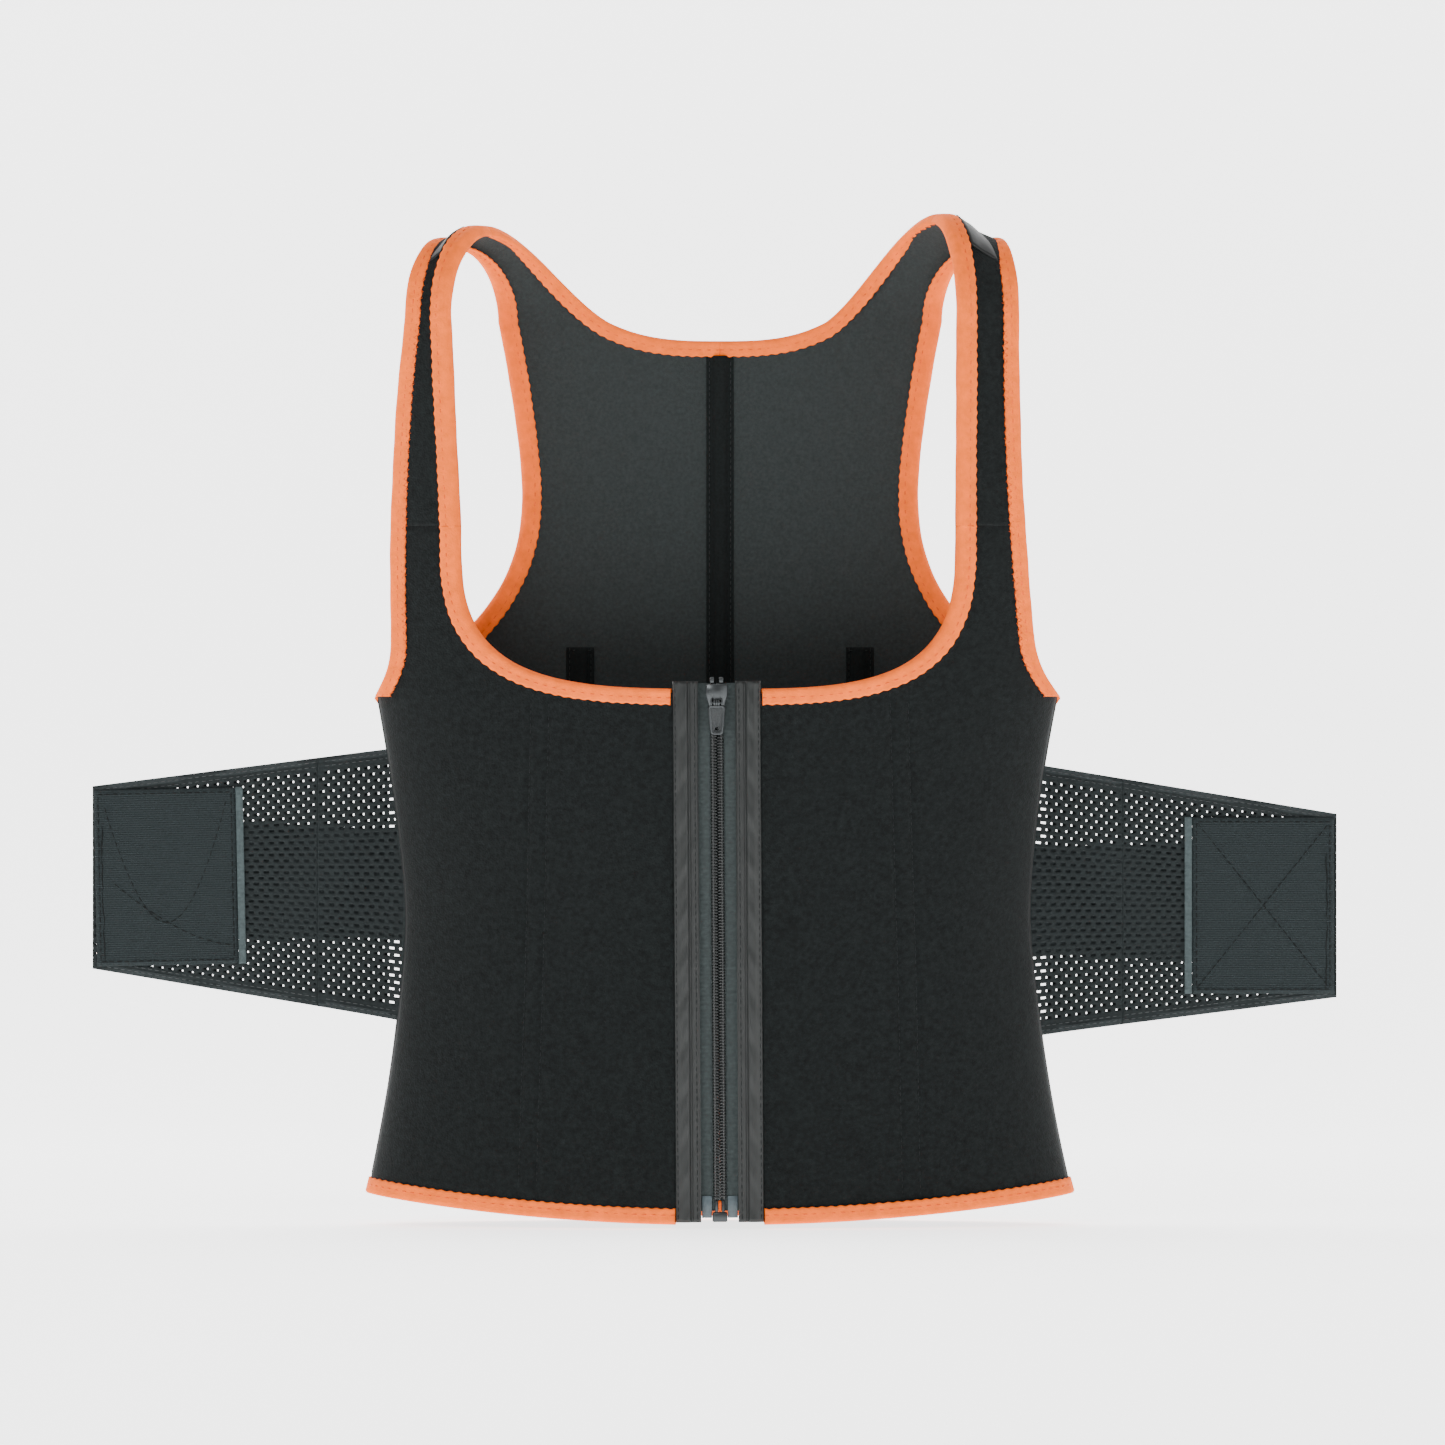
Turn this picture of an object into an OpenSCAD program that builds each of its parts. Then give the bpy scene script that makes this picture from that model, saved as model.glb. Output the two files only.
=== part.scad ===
// Zip-front waist-trainer vest with bound edges, boned fronts and back, and two
// belt wings that wrap round to the front. Millimetres, +Z up, the front faces -Y,
// and left and right are as seen from the front: left is -X.
// Heights in the values below are measured up from the lowest point of the hem.

/* [Torso] */
// Width across the hem
hem_w = 353; // [300:1:424]
// Width across the waist
waist_w = 313.5; // [260:0.5:340]
// Width from armpit to armpit
chest_w = 341; // [300:1:410]
// How far the waist and chest sit to the left of the middle
torso_shift = 1.3; // [0:0.1:3]
// Height of the waist
waist_h = 152; // [130:1:182]
// Height of the armpits
armpit_h = 264; // [255:1:280]
// How much higher the hem is at its corners than in its middle
hem_drop = 14; // [0:0.5:18]
// Depth from the middle of the torso to the front
front_d = 48; // [42:1:60]
// Depth from the middle of the torso to the back
back_d = 48; // [42:1:60]
// How far the back bends in at the waist
lumbar_dip = 6; // [0:0.5:10]

/* [Neck and armholes] */
// Height of the front neckline's lowest edge
neck_front_h = 268; // [262:0.5:276]
// Height at which the front neckline's round corners end
neck_round_h = 350; // [335:1:360]
// Half width of the front neckline, left
neck_half_l = 131; // [122:0.5:134]
// Half width of the front neckline, right
neck_half_r = 119; // [112:0.5:128]
// Height of the back neckline's lowest edge
neck_back_h = 445; // [415:1:450]
// Half width of the back neckline where the shoulder arch starts
neck_back_half = 60; // [50:1:72]
// Half width of the back between the armholes, at its narrowest
back_narrow_half = 100; // [90:1:110]
// Height of the back's narrowest place
back_narrow_h = 368; // [345:1:390]

/* [Shoulders] */
// Height of the left shoulder at its neck edge
shoulder_h_l = 499.5; // [490:0.5:520]
// Height of the right shoulder at its neck edge
shoulder_h_r = 505.5; // [490:0.5:520]
// Height of both shoulders at the armhole edge
shoulder_out_h = 493.5; // [486:0.5:510]
// Height at which the straps start to arch over the shoulder
arch_h = 455; // [440:1:462]
// Distance from the middle to the neck edge on top of the left shoulder
top_in_l = 116; // [108:0.5:120]
// Distance from the middle to the neck edge on top of the right shoulder
top_in_r = 107.5; // [100:0.5:114]
// Distance from the middle to the armhole edge on top of both shoulders
top_out = 140; // [134:0.5:146]
// Distance to the left strap's neck edge where the arch starts
strap_in_l = 136; // [130:0.5:138]
// Distance to the right strap's neck edge where the arch starts
strap_in_r = 119.5; // [114:0.5:124]
// Distance to the left strap's armhole edge where the arch starts
strap_out_l = 157; // [153:0.5:166]
// Distance to the right strap's armhole edge where the arch starts
strap_out_r = 149; // [145:0.5:158]
// Distance to the back strap's armhole edge where the arch starts
back_strap_out = 112; // [106:0.5:120]

/* [Cloth and binding] */
// Thickness of the padded cloth
cloth_t = 3; // [2:0.1:4]
// Width of the edge binding
bind_w = 8; // [6:0.1:10]
// Thickness of one layer of the edge binding
bind_t = 0.8; // [0.5:0.05:1.2]
// Gap between the cloth and what is folded or sewn over it
sew_gap = 0.3; // [0.2:0.05:0.5]
// Gap between the cloth pieces of two moving bodies
part_gap = 1.2; // [0.8:0.1:3]

/* [Front closure] */
// How far the zip leans to the left from its bottom to its top
zip_lean = 1.75; // [0:0.05:3]
// Height of the closure's top edge
zip_top_h = 272; // [262:0.5:280]
// Height of the zip chain's lower end
chain_low_h = 12.5; // [10:0.5:20]
// Half width of the zip tape
tape_half_w = 15; // [12:0.5:18]
// Thickness of the zip tape
tape_t = 0.6; // [0.4:0.05:1]
// Width of the closed zip chain
chain_w = 7; // [5:0.1:8.5]
// Thickness of the zip chain
chain_t = 2.4; // [1.8:0.1:3]
// Gap between the two halves of the zip chain
chain_gap = 1.2; // [0.8:0.1:1.4]
// Width of the slider
slider_w = 11; // [9.5:0.1:13.5]
// Length of the slider
slider_l = 12; // [10:0.1:15]
// Length of the puller
puller_l = 17; // [14:0.5:22]
// Distance from the zip's middle to the placket's folded edge
placket_in = 9.3; // [8:0.1:11]
// Width of the plackets
placket_w = 12.7; // [10:0.1:15.5]
// Width of the pieces of film at the foot of the zip
film_w = 6; // [5:0.1:6.5]

/* [Boning] */
// Width of the bones
bone_w = 5; // [4:0.1:6]
// Thickness of the bones
bone_t = 1; // [0.8:0.1:1.5]
// Width of the casings over the front bones
front_casing_w = 9; // [8:0.1:11]
// Distance from the middle to the front casings at the neckline
front_casing_top = 89; // [74:0.5:92]
// Distance from the middle to the front casings at the hem
front_casing_low = 96; // [80:0.5:100]
// Width of the casings on the back
back_casing_w = 14; // [12:0.1:17]
// Distance from the middle to the short back casings
short_casing_x = 72; // [60:0.5:86]
// Height of the short back casings' top ends
short_casing_h = 291; // [243:1:330]

/* [Belt wings] */
// Distance from the middle to the seam that holds each wing on the back
wing_seam_x = 100; // [84:1:110]
// Distance from the middle to the tip of the left wing
wing_tip_l = 318; // [300:1:380]
// Distance from the middle to the tip of the right wing
wing_tip_r = 312.5; // [300:1:375]
// Depth of the wings behind the middle of the torso
wing_y = 22; // [21:0.5:24]
// Height of the left wing's lower edge at its seam
wing_low_l = 90; // [80:1:108]
// Height of the left wing's upper edge at its seam
wing_high_l = 246.5; // [225:0.5:256]
// Height of the right wing's lower edge at its seam
wing_low_r = 85; // [75:1:102]
// Height of the right wing's upper edge at its seam
wing_high_r = 240; // [220:0.5:256]
// Height of the left wing's tip
tip_h_l = 92.5; // [80:0.5:110]
// Height of the right wing's tip
tip_h_r = 93; // [80:0.5:110]
// Height of the left tip's lower corner
tip_low_l = 126.5; // [115:0.5:140]
// Height of the right tip's lower corner
tip_low_r = 112; // [100:0.5:125]
// Thickness of one mesh layer
mesh_t = 0.8; // [0.5:0.05:1.2]
// Thickness of the elastic band between the mesh layers
band_t = 1; // [0.6:0.05:1.5]
// Height of the elastic band
band_h = 56; // [46:0.5:67]
// Length of the hook pads, along the wing
pad_l = 73; // [60:0.5:76]
// Thickness of the hook pads
pad_t = 1.8; // [1.2:0.1:2.5]
// Distance from the fold by the torso's side to the wing's second fold
wing_fold_l = 61; // [58:0.5:63]

/* [Hidden] */
// Colours
outer_c = "#1a1f1f";
back_c = "#333838";
trim_c = "#fa7d4b";
tape_c = "#141617";
casing_c = "#1b2121";
bone_c = "silver";
satin_c = "#272c2b";
zip_tape_c = "#303737";
metal_c = "#202222";
film_c = "#49555a";
mesh_c = "#293132";
band_c = "#1c2122";
pad_c = "#2f3a3b";
pad_trim_c = "#3a4445";

// Sides, and the two faces of the garment
L = 0;
R = 1;
FRONT = -1;
BACK = 1;
$fn = 32;

// The hanger carries both shoulder folds from below: the frame's origin
hanger_h = min(shoulder_h_l, shoulder_h_r) - 12;

// Shape of the torso
section_n = 2.4;    // how full the torso's cross-section is
flare_n = 1.6;      // how the sides run from the waist out to the hem and the chest
hem_half = hem_w / 2;
waist_half = [waist_w / 2 + torso_shift, waist_w / 2 - torso_shift];
chest_half = [chest_w / 2 + torso_shift, chest_w / 2 - torso_shift];

// Shape of the openings
neck_n = 3.4;       // how square the front neckline's corners are
neck_back_n = 3;    // how fast the back neckline climbs
armhole_n = 2.4;    // how fast the back armhole runs out to the armpit
armpit_rise = 28;   // height over which the armhole turns into the strap
armpit_out = 1;     // how far the armpit stands out past the side
neck_half = [neck_half_l, neck_half_r];
shoulder_h = [shoulder_h_l, shoulder_h_r];
top_in = [top_in_l, top_in_r];
strap_in = [strap_in_l, strap_in_r];
strap_out = [strap_out_l, strap_out_r];
strap_low_out = [strap_out_l + 6, strap_out_r + 11];
strap_bow = [4, -3];

// Where a front panel turns when it opens: a straight line in front of the cloth
hinge_top_h = neck_round_h - 8;
hinge_top_x = [neck_half_l - 2, neck_half_r - 2];
hinge_low_x = [neck_half_l + 9, neck_half_r + 9];

// Half thicknesses, outwards from the middle of the cloth
half_t = cloth_t / 2;
over_t = half_t + sew_gap;          // inner face of what lies on the cloth
bind_o = over_t + bind_t;           // outer face of the binding
bind_c = 1;                         // thickness of the binding's fold
cloth_in = bind_c + sew_gap;        // how deep the cloth's edge sits in the binding

// The front panels end here, where the neckline comes close to the opening line
door_top_h = neck_front_h + 19;

// Placket and zip
lean_a = atan(zip_lean / zip_top_h);
placket_out = placket_in + placket_w;
placket_t = 0.6;
placket_high = over_t + bone_t + sew_gap + placket_t;
tape_back = over_t + tape_t;
coil_front = tape_back - tape_t - sew_gap / 2 - chain_t;
slider_plate = 1.1;
slider_clear = 0.35;
slider_web = 0.5;
slider_top_h = zip_top_h - 1.5;
box_low_h = 1.5;
box_h = 5;
film_low_h = 3.5;
film_h = 11;
stop_l = 3;

// Belt wings
wing_tip = [wing_tip_l, wing_tip_r];
wing_low = [wing_low_l, wing_low_r];
wing_high = [wing_high_l, wing_high_r];
tip_low = [tip_low_l, tip_low_r];
tip_h = [tip_h_l, tip_h_r];
wing_pack = band_t / 2 + 0.15 + mesh_t;       // half thickness of both layers and band
wing_side_gap = 15;                           // from the waist's side to the first fold
fold_slope = 0.05;                            // how far the folds lean out at the top
fold_gap = wing_pack + 1.6;                   // from a fold's axis to the cloth
pad_trim_w = 3.5;
pad_edge = 0.8;                               // the pad's distance from the wing's edges

// ---- Curves of the garment, as distances from the middle ----
function mix(a, b, t) = a + (b - a) * t;
function side_x(k, h) =
    h < waist_h
    ? mix(waist_half[k], hem_half, pow((waist_h - h) / (waist_h - hem_drop), flare_n))
    : mix(waist_half[k], chest_half[k],
          pow(min(1, (h - waist_h) / (armpit_h - waist_h)), flare_n));
function hem_edge(x) = hem_drop * pow(abs(x) / hem_half, 2);
function neck_front_x(k, h) =
    h < neck_round_h
    ? neck_half[k] * pow(max(0, 1 - pow((neck_round_h - h) / (neck_round_h - neck_front_h),
                                        neck_n)), 1 / neck_n)
    : mix(neck_half[k], strap_in[k], (h - neck_round_h) / (arch_h - neck_round_h));
function strap_edge(k, t) =
    mix(strap_low_out[k], strap_out[k], t) + strap_bow[k] * 4 * t * (1 - t);
function arm_front_x(k, h) =
    strap_edge(k, (h - armpit_h) / (arch_h - armpit_h))
    + (chest_half[k] + armpit_out - strap_low_out[k])
      * pow(max(0, 1 - (h - armpit_h) / armpit_rise), 2);
function arm_back_x(k, h) =
    h < back_narrow_h
    ? mix(back_narrow_half, chest_half[k] + armpit_out,
          pow((back_narrow_h - h) / (back_narrow_h - armpit_h), armhole_n))
    : mix(back_narrow_half, back_strap_out,
          pow((h - back_narrow_h) / (arch_h - back_narrow_h), 1.5));
function hinge_x(k, h) =
    mix(hinge_low_x[k], hinge_top_x[k], (h - hem_drop) / (hinge_top_h - hem_drop));

// Depth of the front and the back at a height
function lumbar(h) = lumbar_dip * pow(cos(min(90, abs(h - waist_h) * 0.8)), 2);
function depth(f, h) = f == FRONT ? front_d : back_d - lumbar(h);
function lens(u) = sqrt(max(0, 1 - pow(min(1, abs(u)), section_n)));

// ---- Sites: [face, distance from the middle, height, arch], arch is 1 below the arch ----
function arch_site(k, f, x, top, s) = [f, x, mix(arch_h, top, sqrt(1 - s * s)), s];
function arm_arch(k, f, s) =
    arch_site(k, f, mix(top_out, f == FRONT ? strap_out[k] : back_strap_out, s),
              shoulder_out_h, s);
function neck_arch(k, f, s) =
    arch_site(k, f, f == FRONT ? mix(top_in[k], strap_in[k], s)
                               : mix(top_in[k], neck_back_half, pow(s, 3.6)),
              shoulder_h[k], s);

// A point at a site, moved out of the middle of the cloth by o
function sign_of(k) = k == L ? -1 : 1;
function at(k, s, o) =
    let (a = side_x(k, s[2]), u = s[1] / a, rise = sqrt(max(0, 1 - s[3] * s[3])))
    [sign_of(k) * u * (a + o), s[0] * (depth(s[0], s[2]) + o) * lens(u) * s[3],
     s[2] + o * rise - hanger_h];

// ---- Solids swept through rings of points ----
function backwards(v) = [for (i = [len(v) - 1:-1:0]) v[i]];
function total(v, i = 0) = i < len(v) ? v[i] + total(v, i + 1) : 0;
function volume_sign(p, faces) =
    total([for (f = faces) for (i = [1:len(f) - 2]) p[f[0]] * cross(p[f[i]], p[f[i + 1]])]);
module sweep(rings, caps) {
    n = len(rings);
    m = len(rings[0]);
    points = [for (r = rings) each r];
    walls = [for (i = [0:n - 2], j = [0:m - 1])
             let (a = i * m + j, b = i * m + (j + 1) % m) each [[a, b, b + m], [a, b + m, a + m]]];
    ends = concat([for (c = caps) backwards(c)], [for (c = caps) [for (q = c) q + (n - 1) * m]]);
    faces = concat(walls, ends);
    inside_out = volume_sign(points, faces) > 0;
    polyhedron(points, [for (f = faces) inside_out ? backwards(f) : f]);
}
// A sheet through rows of sites, from offset low to offset high
module sheet(k, rows, low, high) {
    c = len(rows[0]);
    sweep([for (row = rows) concat([for (s = row) at(k, s, high)],
                                   [for (s = backwards(row)) at(k, s, low)])],
          [for (j = [0:c - 2]) [j, j + 1, 2 * c - 2 - j, 2 * c - 1 - j]]);
}
// A strip whose section is given as [across, offset] pairs, along sites with a direction
module strip(k, path, section, caps) {
    sweep([for (p = path) [for (q = section)
           at(k, [p[0], p[1] + p[4] * q[0], p[2] + p[5] * q[0], p[3]], q[1])]], caps);
}
function bar(s0, s1, o0, o1) = [[s0, o0], [s1, o0], [s1, o1], [s0, o1]];
BAR_CAPS = [[0, 1, 2, 3]];
// The binding's folded section, from the edge inwards
FOLD = [[0, -bind_o], [bind_w, -bind_o], [bind_w, -over_t], [bind_c, -over_t],
        [bind_c, over_t], [bind_w, over_t], [bind_w, bind_o], [0, bind_o]];
FOLD_CAPS = [[0, 1, 2, 3], [0, 3, 4, 7], [4, 5, 6, 7]];
// A casing's section: a tape on two legs, with room for the bone inside
function tray(w, o) = [[-w / 2, o * over_t], [-w / 2, o * casing_o], [w / 2, o * casing_o],
    [w / 2, o * over_t], [w / 2 - 1, o * over_t], [w / 2 - 1, o * casing_i],
    [1 - w / 2, o * casing_i], [1 - w / 2, o * over_t]];
casing_i = over_t + bone_t + 2 * sew_gap;
casing_o = casing_i + 0.6;
TRAY_CAPS = [[0, 1, 6, 7], [1, 2, 5, 6], [2, 3, 4, 5]];
module bone_along(path, k, o) {
    low = over_t + sew_gap;
    strip(k, path, bar(-bone_w / 2, bone_w / 2, o * low, o * (low + bone_t)), BAR_CAPS);
}

// Sites along an edge get the direction inwards from their neighbours
function unit2(a) = a / norm(a);
function turned(path) = [for (i = [0:len(path) - 1])
    let (a = path[max(0, i - 1)], b = path[min(len(path) - 1, i + 1)],
         d = unit2([b[1] - a[1], b[2] - a[2]]))
    [path[i][0], path[i][1], path[i][2], path[i][3], d[1], -d[0]]];
function across(path, way) = [for (p = path) [p[0], p[1], p[2], p[3], way, 0]];

// Steps over a height, and round the shoulder arch from its start to the top
function steps(a, b, n) = [for (i = [0:n]) mix(a, b, i / n)];
arch_steps = [for (i = [0:5]) cos(18 * i)];

// Rows of sites from an inner to an outer distance, closer together towards the side
columns = 8;
function columns_between(x0, x1) = [for (t = steps(asin(x0 / x1), 90, columns)) x1 * sin(t)];
function row(f, h, x0, x1) = [for (x = columns_between(x0, x1)) [f, x, h, 1]];
function hem_row(f, x0, x1) =
    [for (x = columns_between(x0, x1)) [f, x, hem_edge(x) + cloth_in, 1]];
function span(a, b) = [for (t = steps(0, 1, columns)) mix(a, b, t)];
function inset(s, d) = [s[0], s[1] + d, s[2], s[3]];

// ---- Cloth panels ----
function lean_at(k, h) = -sign_of(k) * zip_lean * h / zip_top_h;
function front_in(k, h) =
    max(placket_in + placket_t + sew_gap + lean_at(k, h),
        h > neck_front_h - cloth_in ? neck_front_x(k, h + cloth_in) + cloth_in : 0);
function side_edge(k, h) = h < armpit_h ? side_x(k, h) : arm_front_x(k, h) - cloth_in;

module front_panel(k) {
    heights = concat(steps(hem_drop + 10, neck_front_h - cloth_in, 8),
                     [for (t = [0.01, 0.06, 0.2, 0.5, 1])
                      mix(neck_front_h - cloth_in, door_top_h, t)]);
    color(outer_c) sheet(k, concat([hem_row(FRONT, front_in(k, 0), hinge_x(k, 0) - part_gap)],
                    [for (h = heights) row(FRONT, h, front_in(k, h), hinge_x(k, h) - part_gap)]),
          -half_t, half_t);
}

module side_panel(k) {
    low = concat(steps(hem_drop + 10, armpit_h, 8), [armpit_h + 7, armpit_h + 16]);
    mid = [door_top_h + part_gap, door_top_h + 2.5 * part_gap, door_top_h + 12, armpit_h + 45,
           armpit_h + 62, neck_round_h - 4];
    high = [neck_round_h + 10, mix(neck_round_h, arch_h, 0.4), mix(neck_round_h, arch_h, 0.7)];
    function inner(h) = h < door_top_h + 2 * part_gap ? hinge_x(k, h) + part_gap
                                                      : neck_front_x(k, h) + cloth_in;
    color(outer_c) sheet(k, concat([hem_row(FRONT, hinge_x(k, 0) + part_gap, side_edge(k, hem_drop))],
                    [for (h = concat(low, mid, high)) row(FRONT, h, inner(h), side_edge(k, h))],
                    [for (s = arch_steps) span(inset(neck_arch(k, FRONT, s), cloth_in),
                                               inset(arm_arch(k, FRONT, s), -cloth_in))]),
          -half_t, half_t);
}

module back_panel(k) {
    seam = 0.15;
    low = steps(hem_drop + 10, armpit_h, 12);
    mid = concat(arm_low_heights, [back_narrow_h]);
    high = [mix(back_narrow_h, neck_back_h, 0.6), neck_back_h - neck_cloth_in];
    // The armhole slopes more towards the armpit, so the cloth ends further in along the row
    function slant(h) = max(1, slant_most * (back_narrow_h - h) / (back_narrow_h - armpit_h));
    function outer(h) = h < armpit_h ? side_x(k, h) : arm_back_x(k, h) - cloth_in * slant(h);
    function neck_in(h) = neck_back_half * pow(max(0, h + neck_cloth_in - neck_back_h)
        / (arch_h - neck_back_h), 1 / neck_back_n) + cloth_in;
    neck = [for (t = [0.01, 0.1, 0.4, 0.7]) mix(neck_back_h - neck_cloth_in, arch_h, t)];
    color(back_c) sheet(k, concat([hem_row(BACK, seam, side_edge(k, hem_drop))],
                    [for (h = concat(low, mid, high)) row(BACK, h, seam, outer(h))],
                    [for (h = neck) row(BACK, h, max(seam, neck_in(h)), outer(h))],
                    [for (s = arch_steps) span(inset(neck_arch(k, BACK, s), neck_cloth_in),
                                               inset(arm_arch(k, BACK, s), -cloth_in))]),
          -half_t, half_t);
}

// ---- Edge bindings ----
function neck_site(k, a) =
    [FRONT, neck_half[k] * pow(cos(a), 2 / neck_n),
     neck_round_h - (neck_round_h - neck_front_h) * pow(sin(a), 2 / neck_n), 1];
// Heights that the back's rows and the armhole's binding share below its narrowest part
arm_low_heights = [for (t = [0.02, 0.1, 0.22, 0.36, 0.52, 0.7, 0.85])
                   mix(armpit_h, back_narrow_h, t)];
slant_most = 2.6;
neck_cloth_in = 2 * cloth_in;
strap_gap = 8;
// The angle round the neckline's corner at which the moving binding ends
function cut_angle() =
    asin(pow((neck_round_h - door_top_h) / (neck_round_h - neck_front_h), neck_n / 2));

module neck_binding_front(k) {
    start = placket_out + sew_gap + lean_at(k, neck_front_h);
    first = acos(pow(start / neck_half[k], neck_n / 2));
    color(trim_c) strip(k, turned([for (a = steps(first, cut_angle(), 9)) neck_site(k, a)]),
          FOLD, FOLD_CAPS);
}

module neck_binding_strap(k) {
    corner = [for (a = steps(cut_angle() - strap_gap, 4, 4)) neck_site(k, a)];
    strap = [for (h = steps(neck_round_h + 6, arch_h, 3)) [FRONT, neck_front_x(k, h), h, 1]];
    arch = [for (i = [1:5]) neck_arch(k, FRONT, cos(17 * i))];
    color(trim_c) strip(k, concat(turned(corner), across(concat(strap, arch), 1)), FOLD, FOLD_CAPS);
}

module neck_binding_back() {
    for (k = [L, R]) {
        arch = [for (i = [5:-1:0]) let (s = cos(17.5 * i), q = neck_arch(k, BACK, s))
                [q[0], q[1], q[2], q[3], cos(63 * pow(s, 3)), -sin(63 * pow(s, 3))]];
        bottom = [for (t = [0.85, 0.65, 0.4, 0.2, 0.003]) let (x = neck_back_half * t,
                  slope = neck_back_n * (arch_h - neck_back_h) / neck_back_half
                          * pow(t, neck_back_n - 1), d = unit2([slope, -1]))
                  [BACK, x, mix(neck_back_h, arch_h, pow(t, neck_back_n)), 1, d[0], d[1]]];
        color(trim_c) strip(k, concat(arch, bottom), FOLD, FOLD_CAPS);
    }
}

module armhole_binding(k) {
    front = [for (h = concat([for (t = [0.02, 0.25, 0.6, 1.1]) armpit_h + armpit_rise * t],
                             steps(armpit_h + 62, arch_h, 4))) [FRONT, arm_front_x(k, h), h, 1]];
    arch = concat([for (i = [1:5]) arm_arch(k, FRONT, cos(18 * i))],
                  [for (i = [4:-1:1]) arm_arch(k, BACK, cos(18 * i))]);
    high = [for (h = steps(arch_h, back_narrow_h, 4)) [BACK, arm_back_x(k, h), h, 1]];
    low = [for (h = backwards(arm_low_heights)) [BACK, arm_back_x(k, h), h, 1]];
    color(trim_c) strip(k, concat(across(concat(front, arch, high), -1), turned(low)), FOLD, FOLD_CAPS);
}

function hem_site(f, x) = [f, x, hem_edge(x), 1, 0, 1];
module hem_binding_front(k) {
    start = placket_out + sew_gap;
    color(trim_c) strip(k, [for (x = steps(start, hinge_x(k, 0) - part_gap, 7)) hem_site(FRONT, x)],
          FOLD, FOLD_CAPS);
}

module hem_binding_back() {
    for (k = [L, R]) {
        a = asin((hinge_x(k, 0) + part_gap) / hem_half);
        color(trim_c) strip(k, concat(
            [for (t = steps(a, 90, columns)) hem_site(FRONT, hem_half * sin(t))],
            [for (t = [columns - 1:-1:1]) hem_site(BACK, hem_half * sin(90 * t / columns))],
            [hem_site(BACK, sew_gap / 2)]), FOLD, FOLD_CAPS);
    }
}

module shoulder_tape(k) {
    tape_o = over_t + sew_gap;
    color(tape_c) sheet(k, [for (s = [0.12, 0.32, 0.52, 0.7])
              span(inset(neck_arch(k, FRONT, s), bind_w + sew_gap),
                   inset(arm_arch(k, FRONT, s), -bind_w - sew_gap))], tape_o, tape_o + 0.6);
}

// ---- Bones and their casings ----
function casing_x(h) = mix(front_casing_low, front_casing_top, (h - bind_w) / neck_front_h);
casing_low_h = hem_drop + bind_w / 2;
function casing_path(f, heights, x_at_low, x_at_high) =
    [for (t = steps(0, 1, 14)) [f, mix(x_at_low, x_at_high, t),
                               mix(heights[0], heights[1], t), 1, 1, 0]];
front_run = [casing_low_h, neck_front_h - bind_w];
module casing(k, f, heights, x0, x1, w) {
    color(casing_c) strip(k, casing_path(f, heights, x0, x1), tray(w, -1), TRAY_CAPS);
}
module casing_bone(k, f, heights, x0, x1) {
    color(bone_c) bone_along(casing_path(f, heights + [2, -2], x0, x1), k, -1);
}
module front_casing(k) {
    casing(k, FRONT, front_run, front_casing_low, front_casing_top, front_casing_w);
}
module front_bone(k) {
    casing_bone(k, FRONT, front_run, front_casing_low, front_casing_top);
}
centre_run = [casing_low_h, neck_back_h - bind_w - sew_gap];
short_run = [casing_low_h, short_casing_h];

module back_casing_centre() {
    casing(R, BACK, centre_run, 0, 0, back_casing_w);
}
module back_bone_centre() {
    casing_bone(R, BACK, centre_run, 0, 0);
}
module back_casing(k) {
    casing(k, BACK, short_run, short_casing_x, short_casing_x, back_casing_w);
}
module back_bone(k) {
    casing_bone(k, BACK, short_run, short_casing_x, short_casing_x);
}

// ---- Zip and plackets, in a frame that leans with the zip ----
module closure() {
    translate([0, -front_d, -hanger_h]) rotate([0, -lean_a, 0]) children();
}
module brick(x, y, z) {
    translate([x[0], y[0], z[0]]) cube([x[1] - x[0], y[1] - y[0], z[1] - z[0]]);
}
module side(k) {
    mirror([k == L ? 1 : 0, 0, 0]) children();
}
coil_y = [coil_front, coil_front + chain_t];
slider_low_h = slider_top_h - slider_l;
plate_front_y = coil_front - slider_clear - slider_plate;
plate_back_y = tape_back + slider_clear;
pin_r = 0.7;
eye_r = 1.6;
puller_t = 1.4;
puller_y = plate_front_y - eye_r - 0.3;
puller_z = slider_low_h + 2.6;
puller_w = 7.5;
puller_low_w = 5;
eye_w = 4;
lug_w = 0.9;

module placket(k) {
    color(satin_c) closure() side(k) {
        brick([placket_in, placket_out], [-placket_high, placket_t - placket_high],
              [1, zip_top_h]);
        brick([placket_in, placket_in + placket_t], [-placket_high, half_t], [1, zip_top_h]);
    }
}
module placket_bone(k) {
    color(bone_c) closure() side(k) translate([placket_in + 3, -over_t - sew_gap / 2 - bone_t, 0])
        brick([0, bone_w], [0, bone_t], [hem_drop, zip_top_h - 4]);
}
module zip_tape(k) {
    color(zip_tape_c) closure() side(k) brick([chain_gap / 2, tape_half_w], [over_t, tape_back],
                            [box_low_h + box_h + sew_gap, zip_top_h]);
}
module zip_coil(k) {
    color(tape_c) closure() side(k) brick([chain_gap / 2, chain_w / 2], coil_y, [chain_low_h, slider_top_h]);
}
module top_stop(k) {
    color(tape_c) closure() side(k) brick([chain_gap, chain_w / 2], coil_y,
                            [slider_top_h + sew_gap, slider_top_h + sew_gap + stop_l]);
}
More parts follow.
